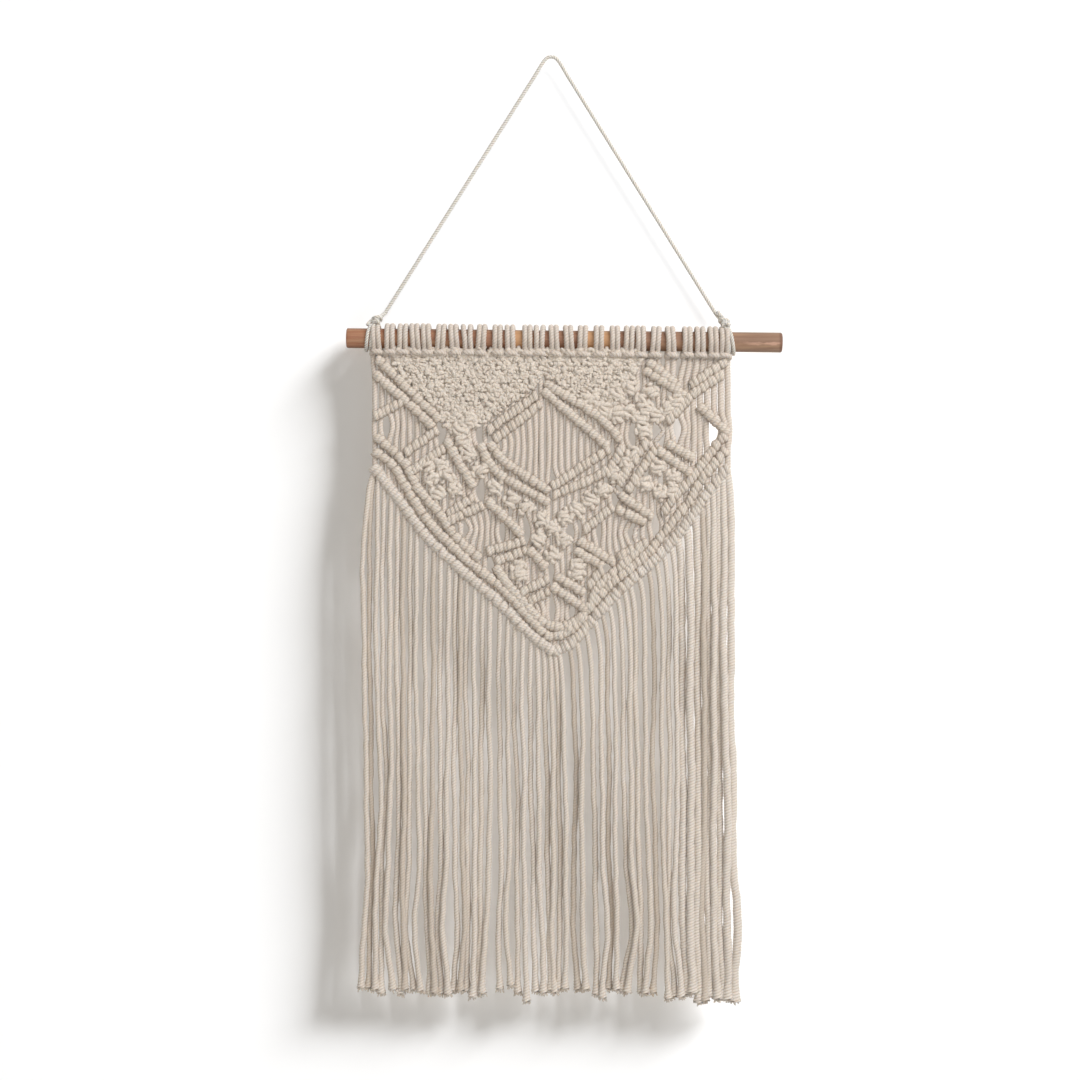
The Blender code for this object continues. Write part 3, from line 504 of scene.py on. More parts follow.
def makeHeads():
    # Each head is one smooth line: the half, then its mirror image in x, with a small lean of its own.
    half = np.array(heads["half"])
    line = np.concatenate([half, half[::-1] * [-1, 1, 1]])
    path = smoothPath(line, twist["spacing"])
    count = len(heads["x"])
    centres = np.array(heads["x"])
    lean = roll.uniform(-heads["lean"], heads["lean"], count)
    paths = np.broadcast_to(path, (count, *path.shape)).copy()
    around = unit(path * [0, 1, 1])
    squeeze = roll.uniform(0.94, 1.05, count)
    splay = roll.uniform(0, 0.07, count)
    for index, wider in heads["open"].items():
        splay[index] = wider
    splay = 1 + splay[:, None] * np.clip(path[:, 2] / 10, 0, 1)
    paths[..., 0] = paths[..., 0] * squeeze[:, None] * splay
    paths[..., 0] += centres[:, None] + lean[:, None] * path[:, 2] / 10
    paths[..., 1:] *= roll.uniform(0.985, 1.02, count)[:, None, None]
    paths[..., 2] -= rodDrop(centres)[:, None]
    pile = Pile()
    layCords(pile, paths, heads["radius"], roll.uniform(0, 1, count), roll.uniform(0.35, 0.65, count), around)
    nodes = [f"larks_head_{number:02d}" for number in range(1, count + 1)]
    pile.make("larksHeads", cottonHeadsPaintedShade, nodes)


makeHeads()
print("larks' heads tied")

# the knots at the hanger's ends: turns round the rod and a small overhand knot
hangerKnots = {
    "leftHangerKnot": {
        "node": "hanger_knot_left", "mirror": 1, "turns": ((-148.6, -146.0), (-145.2, -142.6)),
        "start": (-133.4, 0.0, -204.2), "knotAt": (-139.8, -3.0, 210.6),
        "tail": ((-143.0, -2.5, 209.5), (-146.0, -4.5, 212.5), (-147.2, -6.0, 214.5)),
    },
    "rightHangerKnot": {
        "node": "hanger_knot_right", "mirror": -1, "turns": ((146.4, 143.2), (143.0, 140.2)),
        "start": (131.9, 0.0, -204.6), "knotAt": (138.4, -3.0, 212.4),
        "tail": ((137.0, -3.6, 208.0), (134.8, -5.2, 206.0), (133.0, -5.4, 203.2)),
    },
}
knotCord = {"spacing": 0.8, "knotRadius": 1.55, "radius": 1.5, "clear": 1.75, "lift": 3.0}
# an overhand knot's line round its middle: x, y, z
overhand = ((3.4, -0.6, 3.4), (0.4, -3.0, 1.2), (-3.2, -2.4, -1.6), (-3.0, 1.4, -2.6), (0.6, 2.4, -0.6),
            (3.2, 0.4, 1.0), (2.4, -2.8, 2.6), (-0.8, -2.9, 2.4), (-3.4, 0.2, 1.0), (-2.2, 2.0, -1.8),
            (0.6, -0.8, -3.0), (1.4, -3.2, -1.4), (-1.6, -2.6, 0.2), (-4.4, -1.0, -2.2))


def makeHangerKnot(name, look):
    # Turns: a circle round the rod that leans from the knot's side, closed on itself, with its radius lifted
    # at the top where it meets the knot. The knot is one bent line.
    pile = Pile()
    spacing = knotCord["spacing"]
    knotX, knotY, knotDrop = look["knotAt"]
    knot = np.array(overhand) * [look["mirror"], 1, 1] + [knotX, knotY, -knotDrop]
    knot = smoothPath(np.vstack([look["start"], knot]), spacing)
    tail = smoothPath(np.array(look["tail"]) * [1, 1, -1], spacing)
    layCords(pile, knot, knotCord["knotRadius"], 0.2, 0.45, (0.3, -0.9, 0.3), twist["thinPitch"])
    layCords(pile, tail, knotCord["radius"], 0.6, 0.4, (0.0, -1.0, 0.2), twist["thinPitch"])
    for outer, inner in look["turns"]:
        angle = np.linspace(-math.pi * 0.06, math.pi * 1.94, 60)
        rise = np.exp(-(np.minimum(angle % (2 * math.pi), -angle % (2 * math.pi)) / 0.6) ** 2)
        radius = rod["radius"] + knotCord["clear"] + knotCord["lift"] * rise
        x = outer + (inner - outer) * (0.5 + 0.5 * np.cos(angle)) + (knotX - inner) * 0.45 * rise
        line = np.stack([x, -radius * np.sin(angle), radius * np.cos(angle) - rodDrop(outer)], axis=1)
        line = smoothPath(line, spacing)
        outward = unit(line * [0, 1, 1] + [0, 0, rodDrop(outer)])
        layCords(pile, line, knotCord["radius"], 0.1, 0.5, outward, twist["thinPitch"])
    pile.make(name, cottonThin, [look["node"]])


for name, look in hangerKnots.items():
    makeHangerKnot(name, look)
print("hanger knots tied")

# the strands: where each runs through the panel
strands = {"count": 52, "pitch": 5.54, "start": -141.3, "depth": -4.5, "radius": 2.3, "spread": 262.0,
           "topGap": 6.0, "edgeSwell": 0.42}
# open gaps as x, drop, width, height: the strands beside one bow round it
gaps = (
    (-107.5, 271.5, 6.5, 8), (-94.5, 272, 4, 7), (95, 272, 6.5, 6.5), (-84, 282, 7, 12),
    (81.5, 276, 4, 6.5), (-132, 295, 5.5, 13), (49.5, 294.5, 5, 5), (100, 297.5, 6.5, 11),
    (-88.5, 298, 6.5, 17.5), (130, 299, 8, 17), (-58, 302, 5, 14.5), (64.5, 302.5, 5, 16),
    (87, 303, 7, 10), (-5, 310, 1.6, 40), (75, 333, 5.5, 6.5), (-112.5, 334, 5.5, 8), (1.5, 338, 5, 7),
    (43, 338, 4, 5), (87, 340, 5, 6.5), (65, 345, 6.5, 8), (-57, 347.5, 7, 12), (52, 350, 7, 12),
    (-32.5, 363.5, 4, 5), (-85, 375, 4, 8), (83.5, 375.5, 6.5, 11), (-71.5, 378, 6.5, 7),
    (22, 378.5, 4, 11), (38, 379.5, 4, 12), (-19.5, 380, 5, 18), (-39.5, 380, 4, 12),
    (13.5, 380, 5.5, 6.5), (66, 381, 6, 7), (-48.5, 408, 5.5, 11), (45, 409, 7, 10.5), (0, 410.5, 4.5, 11),
    (-14, 443.5, 5, 6), (1, 443, 5, 13), (17, 444, 6, 6),
)
gapReach, gapFade = 15.0, 1.7
# bows of whole groups of strands: middle x, corner x, drop, half height and the shift towards the middle
bows = (
    (-5.0, -50.0, 311.0, 40.0, 5.0), (-5.0, 50.0, 313.0, 40.0, 2.6), (-38.0, -84.0, 378.0, 17.0, 4.0),
    (38.0, 80.0, 382.0, 17.0, 4.0), (1.0, -26.0, 447.0, 15.0, 2.2), (1.0, 29.0, 447.0, 15.0, 2.2),
    (118.0, 84.0, 299.0, 20.0, 3.0), (-112.0, -84.0, 300.0, 20.0, -2.0),
)


def evenX(index):
    return strands["start"] + strands["pitch"] * index


def bowed(x, drop):
    # Each group bow adds shift·across^0.7·(1 - height²), where across grows from the middle to the corner
    # and the height shrinks on the way; each gap pushes the strands beside it out, less with distance.
    for middle, corner, bowDrop, halfHeight, shift in bows:
        across = np.clip((x - middle) / (corner - middle), 0, 1) * (np.abs(x - middle) < abs(corner - middle))
        height = (drop - bowDrop) / (halfHeight * (1 - across) + 4.0)
        x = x - np.sign(corner - middle) * shift * across ** 0.7 * np.clip(1 - height ** 2, 0, 1)
    for gapX, gapDrop, width, height in gaps:
        away = x - gapX
        side = np.where(away >= 0, 1.0, -1.0)
        before = (gapX - strands["start"]) % strands["pitch"]
        nearest = np.where(away >= 0, strands["pitch"] - before, before)
        clear = width / 2 + strands["radius"]
        upright = np.clip(1 - np.abs(drop - gapDrop) / (height / 2 * gapFade), 0, 1)
        outside = np.maximum(np.abs(away) - nearest, 0)
        target = clear + outside * (gapReach - clear) / (gapReach - nearest)
        x = np.where(np.abs(away) < gapReach, x + np.sin(upright * math.pi / 2) * (side * target - away), x)
    return x


def strandTop(index):
    return heads["x"][index // 2] + (2.4 if index % 2 else -2.4)


def panelX(index, drop):
    # From under its lark's head the strand eases to its even place, bowed by the gaps.
    top = strandTop(index)
    start = rodDrop(top) + rod["radius"] + strands["topGap"]
    ease = np.clip((drop - start) / (strands["spread"] - start), 0, 1)
    ease = ease * ease * (3 - 2 * ease)
    return bowed(top + (evenX(index) - top) * ease, drop)


hitch = {"pitch": 3.6, "wide": 2.95, "deep": 3.0, "thick": 1.5, "reach": 2.5, "paired": 0.1, "loopSteps": 12,
         "loopSides": 6, "depth": -6.7, "lean": 0.55, "core": 2.0, "turned": 0.12, "stray": 0.22,
         "uneven": 0.05}
# rows of half hitches by motif: points x, drop from the left
bars = {
    "vRows": (
        ((-142, 315), (-127, 326.5), (-114.5, 347.5), (-98.5, 371.5), (-79.5, 391), (-64.5, 405),
         (-42.5, 422.5), (-29, 436), (-17, 449), (0, 463.5), (16.5, 458), (27, 445), (37.5, 433), (48, 421),
         (63, 409.5), (79, 395.5), (90, 381), (100.5, 368), (110, 356), (122, 336), (139.5, 315)),
        ((-140.5, 303.5), (-116.5, 326), (-107.5, 344), (-89, 366), (-80, 380), (-57, 402)),
        ((-39, 417), (-24, 434), (-1, 455), (6, 456), (28.5, 443), (35, 428), (53.5, 409), (74.5, 391)),
        ((90, 364.5), (94, 358), (111, 339), (132, 311), (139.5, 302.5)),
    ),
    "leftShoulder": (
        ((-139.5, 241), (-116.3, 264.2), (-89.1, 290.6)),
        ((-141.5, 253.4), (-117.9, 273.8), (-94.7, 296.2)),
    ),
    "leftEye": (
        ((-141.9, 288.2), (-120.3, 276.2)), ((-117.1, 317), (-91.5, 298.6)),
        ((-111.5, 331.4), (-85.9, 313)),
    ),
    "leftLozenge": (
        ((-84.3, 306.6), (-61.9, 345)), ((-83.5, 365.8), (-62.7, 352.2)), ((-83.5, 372.2), (-54.7, 358.6)),
    ),
    "leftFan": (
        ((-51.5, 354.6), (-23.5, 382.6)), ((-52.3, 396.2), (-21.9, 387.4)),
        ((-44.3, 404.2), (-20.3, 394.6)),
    ),
    "leftSmall": (
        ((-45.1, 407.4), (-29.1, 430.6)), ((-17.9, 393.8), (-4.3, 409)), ((-25.1, 429), (-2.7, 417.8)),
    ),
    "rightSmall": (
        ((18.9, 393.8), (40.5, 407.4)), ((3.7, 415.4), (26.1, 429)), ((29.3, 424.2), (40.5, 409.8)),
    ),
    "tipEye": (
        ((-25.1, 439.4), (-1.9, 427.4)), ((-0.3, 423.4), (28.5, 442.6)), ((3.7, 464.2), (28.5, 446.6)),
    ),
    "diamondTop": (
        ((-51.5, 299.4), (-11.5, 270.6)), ((-45.9, 306.6), (-9.1, 277.8)),
        ((-5.1, 260.2), (49.5, 299.5), (55.0, 307)), ((-6.7, 266.6), (44.5, 311.4)),
    ),
    "diamondFoot": (
        ((-49.5, 308.5), (-43.5, 317), (-1.9, 347.4)), ((-56.5, 309), (-51.5, 322), (-2.7, 357)),
        ((0.5, 344.2), (46.1, 313.8)), ((1.3, 351.6), (52.5, 321), (56.5, 312)),
    ),
    "rightShoulder": (
        ((77.3, 243.4), (102.1, 264.2)), ((74.1, 250), (106.9, 270.8)), ((110.9, 262.6), (140.5, 243.4)),
        ((113.3, 269.8), (137.3, 253.8)),
    ),
    "rightEye": (
        ((118.9, 279.4), (141.3, 301)), ((92.5, 292.2), (114.1, 269)), ((92.5, 309), (114.1, 321)),
        ((84.5, 313.8), (110.9, 333)),
    ),
    "rightLozenge": (
        ((53.3, 342.6), (77.3, 306.6)), ((60.5, 347.5), (83, 314.5)), ((54.1, 349.8), (80.5, 368.2)),
    ),
    "rightFan": (
        ((25.3, 379.4), (49.3, 360.2)), ((51.7, 361.8), (75.5, 372.4)), ((21.3, 386.6), (50.9, 405)),
        ((53.3, 400.2), (76.5, 388.6)),
    ),
}
hem = ((-142.7, 327.4), (-130.7, 343), (-117.1, 361), (-97.9, 386.6), (-77.1, 405.8), (-57.9, 422.6),
       (-38.7, 440.2), (-17.9, 461), (1.3, 476.5), (15.7, 469), (25.3, 460.2), (34.1, 449), (42.1, 440.2),
       (54.9, 426.6), (74.9, 409.4), (91.7, 393), (102.9, 380.2), (116.5, 361.8), (127.7, 345),
       (141.5, 329))


def tieBar(pile, points, size=1.0):
    # Loops at even steps along the bar, square to it where it falls to the right and turned upright where it
    # rises, round a holding cord that runs through them.
    flat = np.array(points, float)
    line = smoothPath(np.column_stack([flat[:, 0], 0 * flat[:, 0] + hitch["depth"], -flat[:, 1]]), 1.0)
    run = lengthAlong(line)
    count = max(int(round(run[-1] / hitch["pitch"])), 2)
    at = (np.arange(count) + 0.5 + hitch["paired"] * (-1.0) ** np.arange(count)) / count * run[-1]
    centres = takeAt(at, run, line)
    along = unit(takeAt(at, run, unit(np.gradient(line, axis=0))))
    across = np.stack([-along[:, 2], 0 * at, along[:, 0]], axis=1)
    rising = np.clip(along[:, 2] * 2, 0, 1)[:, None]
    across = unit(across + rising * hitch["lean"] * np.array([0, 0, 1]))
    turn = roll.normal(0, hitch["turned"], count)[:, None]
    across = unit(across + turn * along)
    centres = centres + roll.normal(0, hitch["stray"], (count, 3))
    swell = roll.normal(1, hitch["uneven"], count) * size
    reach = hitch["reach"] * run[-1] / count / hitch["pitch"] * roll.normal(1, 0.04, count)
    layLoops(pile, centres, across, along, hitch["wide"] * swell, hitch["deep"] * swell,
             hitch["thick"] * swell, reach, roll.uniform(0.2, 0.8, count))
    layCords(pile, smoothPath(line, 3.0), hitch["core"], 0.0, 0.5, sides=6, turning=False)


def makeBars():
    pile = Pile()
    for group in bars.values():
        for points in group:
            tieBar(pile, points)
    pile.make("hitchRows", cottonHitched, ["knotted_panel"])


makeBars()
print("half hitch rows tied")

# short curls of cord that the net and the knots are made of: steps, scatter, half length, radius and rise;
# the fine ones lie on top
net = {"across": 3.7, "down": 3.5, "scatter": (0.8, 0.7), "half": (1.6, 2.9), "radius": 1.85,
       "rise": (1.0, 1.9), "sway": 1.4, "top": 235.5, "left": -128.0, "right": 72.0, "cell": (11.08, 16.8),
       "swell": 0.8, "rings": 5, "sides": 6, "fineRadius": 1.0, "fineHalf": (0.7, 1.6), "fineLift": 1.1}
# one knot: its curls, how far it domes forward and how far its core is sunk
knot = {
    # x and drop from the middle, angle in turns, half length, radius; the first two are the core
    "curls": ((-1.6, -0.6, 0.0, 3.0, 3.3), (1.6, 0.8, 0.0, 3.0, 3.3), (-4.9, 0.2, 0.26, 2.4, 2.0),
              (5.0, -0.3, 0.24, 2.4, 2.0), (-0.8, -3.3, 0.02, 3.7, 1.9), (0.3, -0.2, 0.98, 4.4, 1.9),
              (0.9, 3.0, 0.03, 3.7, 1.9), (-3.4, -3.0, 0.14, 1.8, 1.8), (3.6, 3.2, 0.88, 1.9, 1.8),
              (-1.4, 5.0, 0.2, 1.6, 1.8), (1.8, -5.2, 0.8, 1.6, 1.8)),
    "dome": 2.0, "coreSunk": 2.6,
}
singleKnots = (
    (-96.3, 337), (-83.5, 335.4), (-77.9, 345.8), (-90.7, 349.8), (-89, 326), (-100, 326), (-57.1, 330.6),
    (-45.1, 344.2), (-31.5, 354.6), (-19.5, 361), (-8.3, 369.8), (1.3, 377), (-9.9, 385.8), (10.1, 386.6),
    (1.3, 398.6), (10.1, 368.2), (20.5, 362.6), (30.9, 355.4), (40.5, 346.6), (50.9, 334.6), (30.1, 273.8),
    (42.1, 281.8), (51.7, 270.6), (62.9, 265), (61.3, 282.6), (53, 286), (70, 290), (74, 300),
    (85.3, 328.2), (97.3, 335.4), (74.9, 341.8), (86.9, 349), (96, 347), (-25.9, 408.6), (-25.9, 414.6),
    (20.5, 407.6), (20.5, 413.6), (72, 275), (79, 268), (100, 275), (93.5, 282), (83, 287), (76, 283),
    (-66, 290), (-73, 297), (-66, 318), (-71, 308), (60, 326), (66, 318),
)


def netPlaces():
    # A loose grid over the panel, kept between the rod and the bars that the net runs down to.
    rows, columns = np.mgrid[0:40, 0:62]
    byX, byDrop = net["scatter"]
    x = net["left"] + (columns + 0.5 * (rows % 2)) * net["across"] + roll.normal(0, byX, rows.shape)
    drop = net["top"] + rows * net["down"] + roll.normal(0, byDrop, rows.shape)
    shoulder = np.array(bars["leftShoulder"][0])
    lower = np.array([(-89, 292), (-75, 303), (-60, 296), (-51.5, 291), (-11.5, 263), (-5.1, 254),
                      (52.5, 294), (62, 262), (74, 240)])
    floor = np.minimum(np.interp(x, shoulder[:, 0], shoulder[:, 1] - 6, left=0, right=999),
                       np.interp(x, lower[:, 0], lower[:, 1]))
    kept = (x > net["left"] + 1) & (x < net["right"]) & (drop < floor)
    return x[kept], drop[kept]


def layCurls(pile, x, drop, angle, half, lift, radius):
    # Short arcs of cord: along·s + sideways·(1 - s²) + forward·(1 - s²), for s from -1 to 1.
    count = len(x)
    s = np.linspace(-1, 1, net["rings"])[None]
    hump = 1 - s ** 2
    half, lift = half[:, None], lift[:, None]
    along, across = s * half, roll.uniform(-net["sway"], net["sway"], count)[:, None] * hump
    cos, sin = np.cos(angle)[:, None], np.sin(angle)[:, None]
    rise = roll.uniform(*net["rise"], count)[:, None]
    paths = np.stack([x[:, None] + along * cos - across * sin, strands["depth"] - 1.2 - lift - rise * hump,
                      -drop[:, None] + along * sin + across * cos], axis=-1)
    layCords(pile, paths, radius * roll.uniform(0.92, 1.08, (count, 1)), roll.uniform(0, 1, count),
             roll.uniform(0.3, 0.7, count), (0.3, -0.8, 0.4), sides=net["sides"], turning=False)


def makeNet():
    # The net swells towards each of its knots; two layers of small curls lie on the first.
    pile = Pile()
    for fine in (False, True, True):
        x, drop = netPlaces()
        cellX, cellDrop = net["cell"]
        swell = np.cos(2 * math.pi * x / cellX) * np.cos(2 * math.pi * (drop - net["top"]) / cellDrop)
        angle = roll.normal(0.8, 0.5, len(x)) * roll.choice([-1.0, 1.0], len(x))
        half = roll.uniform(*net["fineHalf" if fine else "half"], len(x))
        lift = (0.3 + swell) * net["swell"] + net["fineLift"] * fine + roll.normal(0, 0.25, len(x))
        layCurls(pile, x, drop, angle, half, lift, net["fineRadius" if fine else "radius"])
    pile.make("knotNet", cottonKnotted, ["knotted_panel"])


def makeKnots():
    # Each single knot is one set of curls, turned and mirrored at random.
    pile = Pile()
    places = np.array(singleKnots, float)
    count = len(places)
    curls = np.array(knot["curls"])
    turn, flip = roll.normal(0, 0.3, (count, 1)), roll.choice([-1.0, 1.0], (count, 1))
    byX = curls[:, 0] * flip + roll.normal(0, 0.5, (count, len(curls)))
    byDrop = curls[:, 1] + roll.normal(0, 0.45, (count, len(curls)))
    x = places[:, [0]] + byX * np.cos(turn) - byDrop * np.sin(turn)
    drop = places[:, [1]] + byX * np.sin(turn) + byDrop * np.cos(turn)
    angle = 2 * math.pi * curls[:, 2] * flip - turn + roll.normal(0, 0.35, (count, len(curls)))
    lift = knot["dome"] * (1 - byX ** 2 / 40 - byDrop ** 2 / 34) + 0.6 - knot["coreSunk"] * (curls[:, 4] > 3)
    half = curls[:, 3] * roll.uniform(0.85, 1.15, x.shape)
    layCurls(pile, x.ravel(), drop.ravel(), angle.ravel(), half.ravel(), lift.ravel(),
             np.broadcast_to(curls[:, 4], x.shape).reshape(-1, 1))
    pile.make("squareKnots", cottonKnotted, ["knotted_panel"])


makeNet()
makeKnots()
print("net and square knots tied")


def makePanelStrands():
    pile = Pile()
    hemX, hemDrop = np.array(hem).T
    for index in range(strands["count"]):
        start = rodDrop(strandTop(index)) + 13.5
        end = np.interp(evenX(index), hemX, hemDrop)
        count = int((end - start) / twist["spacing"])
        drop = np.linspace(start, end, count)
        x = np.convolve(np.pad(panelX(index, drop), 3, "edge"), np.ones(7) / 7, "valid")
        y = strands["depth"] + 0.5 * np.sin(drop / 9 + index * 2.1) + (0.35 if index % 2 else -0.35)
        radius = strands["radius"] + strands["edgeSwell"] * min(max(index - 41, 0) / 3, 1)
        path = np.column_stack([x, y, -drop])
        layCords(pile, path, radius, roll.uniform(), roll.uniform(0.3, 0.7))
    pile.make("panelStrands", cottonCloth, ["knotted_panel"])


makePanelStrands()
print("panel strands laid")

# the fringe: the last row of hitches and 52 hanging strands
fringe = {
    "drops": (514.6, 578.6, 642.6, 698.6, 738.6), "depth": -6.6, "radius": 2.2, "growth": 0.3,
    "growFrom": 560.0, "growOver": 150.0, "apart": 1.6, "wave": 0.45, "crinkle": 0.16, "flare": 0.6,
    "flareLength": 15.0, "frayYarns": 14, "frayRadius": 0.9, "bare": 2.0,
    # strands painted darker as shade and hung further back, so their shade is partly painted and partly real
    "paintedShadeStrands": (1, 6, 10, 14, 29, 33, 39, 46), "sunk": 1.0, "paleFrom": 42, "paleTint": 0.4,
    "thicker": (0.9, 1.1, 1.3, 0.5, 0.6, 0.7, 0.6, 0.9, 1.2),   # on top of the last nine strands' radius
}
# each strand's x at the five drops and the drop of its cut end, from the left
hang = (
    (-149.1, -148.3, -147.1, -149.9, -151.9, 746.7), (-145.1, -144.3, -143.5, -145.1, -146.7, 747.2),
    (-139.5, -136.3, -138.7, -141.1, -141.1, 748.0), (-134.7, -132.3, -135.5, -136.3, -135.9, 751.4),
    (-129.1, -128.3, -130.7, -132.3, -127.5, 748.2), (-123.5, -121.9, -123.5, -124.3, -121.1, 752.0),
    (-118.7, -117.9, -118.7, -118.7, -117.1, 748.1), (-113.1, -113.9, -113.9, -117.1, -110.7, 748.8),
    (-108.3, -106.7, -105.9, -109.1, -105.9, 749.0), (-101.1, -101.1, -100.7, -99.5, -97.9, 751.4),
    (-94.7, -95.5, -96.3, -96.3, -93.5, 750.8), (-89.1, -89.1, -88.3, -91.5, -88.3, 752.0),
    (-82.7, -83.5, -84.3, -86.7, -83.5, 751.7), (-77.1, -77.9, -77.1, -75.5, -78.3, 749.8),
    (-73.1, -72.3, -70.7, -69.9, -72.3, 748.8), (-68.3, -66.7, -67.5, -66.7, -67.5, 749.5),
    (-61.9, -61.1, -61.9, -61.1, -63.1, 754.0), (-55.5, -56.3, -56.7, -57.1, -59.1, 752.6),
    (-49.9, -49.1, -49.9, -52.7, -54.7, 750.8), (-41.9, -41.1, -40.3, -41.9, -41.9, 748.1),
    (-35.5, -33.9, -33.9, -36.3, -33.1, 744.6), (-29.9, -27.5, -27.1, -27.5, -26.7, 750.7),
    (-23.5, -21.9, -21.9, -21.1, -19.9, 757.5), (-17.1, -16.3, -14.7, -13.9, -13.1, 749.8),
    (-10.7, -9.9, -9.9, -7.5, -6.7, 750.6), (-5.1, -3.5, -2.7, -1.9, -0.3, 748.6),
    (0.5, 1.3, 1.7, 0.5, 2.1, 750.6), (5.3, 6.1, 6.9, 6.9, 5.3, 747.8),
    (9.3, 10.9, 11.7, 11.7, 10.9, 747.2), (18.1, 19.7, 18.5, 17.3, 21.3, 748.6),
    (24.5, 24.5, 24.5, 25.3, 26.9, 748.0), (32.5, 34.1, 34.9, 36.1, 35.7, 752.4),
    (39.7, 40.5, 41.3, 44.5, 41.3, 754.6), (45.3, 46.1, 46.1, 48.5, 46.5, 748.2),
    (50.9, 51.7, 50.9, 52.9, 51.7, 748.0), (57.3, 58.1, 59.7, 64.5, 57.3, 749.6),
    (62.9, 63.7, 64.5, 67.7, 62.1, 750.2), (67.7, 69.3, 70.1, 71.7, 71.7, 750.6),
    (74.9, 75.7, 77.3, 79.7, 75.3, 750.9), (82.1, 81.3, 83.7, 84.5, 82.1, 751.4),
    (88.5, 88.5, 90.1, 91.7, 93.3, 755.1), (94.1, 94.9, 94.1, 94.1, 98.1, 754.2),
    (99.7, 101.3, 98.9, 98.9, 102.9, 753.8), (104.5, 105.3, 105.3, 105.3, 108.5, 752.6),
    (110.9, 111.7, 111.7, 110.9, 113.3, 750.4), (117.3, 118.1, 117.3, 116.5, 118.1, 758.6),
    (122.1, 122.9, 121.3, 120.5, 122.5, 757.0), (126.1, 126.9, 125.3, 125.3, 126.9, 753.4),
    (130.1, 130.1, 129.7, 130.1, 132.5, 755.4), (134.1, 134.9, 134.9, 134.9, 136.9, 755.2),
    (138.1, 140.5, 140.5, 140.5, 141.3, 756.0), (143.7, 145.3, 145.7, 148.9, 147.3, 758.0),
)


def layFray(pile, end, direction, tint):
    # Yarns that leave the cord near its cut: point = end + out·inner·(0.9 + 0.9·t²) + down·length·t.
    count = fringe["frayYarns"]
    t = np.linspace(0, 1, 5)[None, :, None]
    angle = np.arange(count) * 2.4 + roll.uniform(0, 1, count)
    out = np.stack([np.cos(angle), 0.7 * np.sin(angle), 0 * angle], axis=1)[:, None]
    inner = fringe["radius"] * np.sqrt((np.arange(count) + 0.5) / count)[:, None, None]
    length = 4.0 + fringe["bare"] + roll.uniform(-1.6, 1.4, count)[:, None, None]
    paths = end - direction * 4.0 + out * inner * (0.9 + 0.9 * t ** 2) + direction * t * length
    paths = paths + np.sin(t * 5 + angle[:, None, None]) * out[:, :, [1, 0, 2]] * 0.4 * t
    radii = fringe["frayRadius"] * (1 - 0.45 * t[..., 0]) * roll.uniform(0.8, 1.2, count)[:, None]
    layCords(pile, paths, radii, roll.uniform(0, 1, count),
             np.clip(tint + roll.normal(0, 0.15, count), 0, 0.95), (0.3, -0.9, 0.0), sides=5, turning=False)


def rootShift(index):
    # How far a strand leaves the hem beside its first place: inwards, most right of the tip.
    if index < 24:
        return 1.2
    return -1.0 - 0.6 * min(index - 24, 7) * min(max(48 - index, 0) / 8, 1)


def makeFringe(name, first, last, hemPart):
    # Each strand leaves the hem sideways, bends down within a few centimetres and hangs through its five
    # places, with slow waves in x and y; near its cut the radius grows by the flare.
    pile = Pile()
    hemX, hemDrop = np.array(hem).T
    tieBar(pile, hemPart, 1.08)
    for index in range(first, last):
        places, cutDrop = hang[index][:5], hang[index][5] - fringe["bare"]
        rootX = min(max(places[0] + rootShift(index), hemX[0] + 1.5), hemX[-1] - 1.0)
        rootDrop = float(np.interp(rootX, hemX, hemDrop))
        knotsAt, values = [rootDrop, rootDrop + 12], [rootX, rootX + 0.5 * (places[0] - rootX)]
        if rootDrop + 75 < fringe["drops"][0]:
            knotsAt.append(rootDrop + 40)
            values.append(rootX + 0.92 * (places[0] - rootX))
        knotsAt += [max(fringe["drops"][0], rootDrop + 40), *fringe["drops"][1:], cutDrop]
        values += [*places, places[4] + (places[4] - places[3]) * 0.15]
        drop = np.linspace(rootDrop, cutDrop, int((cutDrop - rootDrop) / twist["spacing"]))
        loose = np.clip((drop - rootDrop) / 60, 0, 1)
        x = smoothValue(drop, knotsAt, values) + loose * fringe["wave"] * np.sin(drop / 17 + index * 1.7)
        crinkle = np.sin(drop / 6.1 + index * 2.3) + np.sin(drop / 3.7 + index * 4.1)
        x = x + loose * fringe["crinkle"] * crinkle
        step = fringe["apart"] * (1 if index % 2 else -1)
        y = fringe["depth"] + loose * (step + 0.8 * np.sin(drop / 53 + index * 2.9))
        grown = np.clip((drop - fringe["growFrom"]) / fringe["growOver"], 0, 1)
        radius = fringe["radius"] + fringe["growth"] * grown
        if index >= len(hang) - len(fringe["thicker"]):
            radius = radius + fringe["thicker"][index - len(hang)]
        radius = radius * (1 + 0.04 * np.sin(drop / 11 + index) + 0.05 * math.sin(index * 5.3))
        nearCut = np.clip((drop - cutDrop) / fringe["flareLength"] + 1, 0, 1)
        radius = radius * (1 + fringe["flare"] * nearCut ** 2)
        tint = roll.uniform(0.2, 0.8) * (fringe["paleTint"] if index >= fringe["paleFrom"] else 1)
        # painted shade: these strands get a tint of 1, which paints them darker, and they hang further back
        if index in fringe["paintedShadeStrands"]:
            tint, y = 1.0, y + fringe["sunk"] * loose
        path = np.column_stack([x, y, -drop])
        layCords(pile, path, radius, roll.uniform(), tint)
        layFray(pile, path[-1], unit(path[-1] - path[-8]), tint)
    pile.make(name, cottonFringe, ["fringe"])


tip = 8   # the hem's lowest point
makeFringe("fringeLeft", 0, 26, hem[:tip + 1])
makeFringe("fringeRight", 26, 52, hem[tip:])
print("fringe hung")

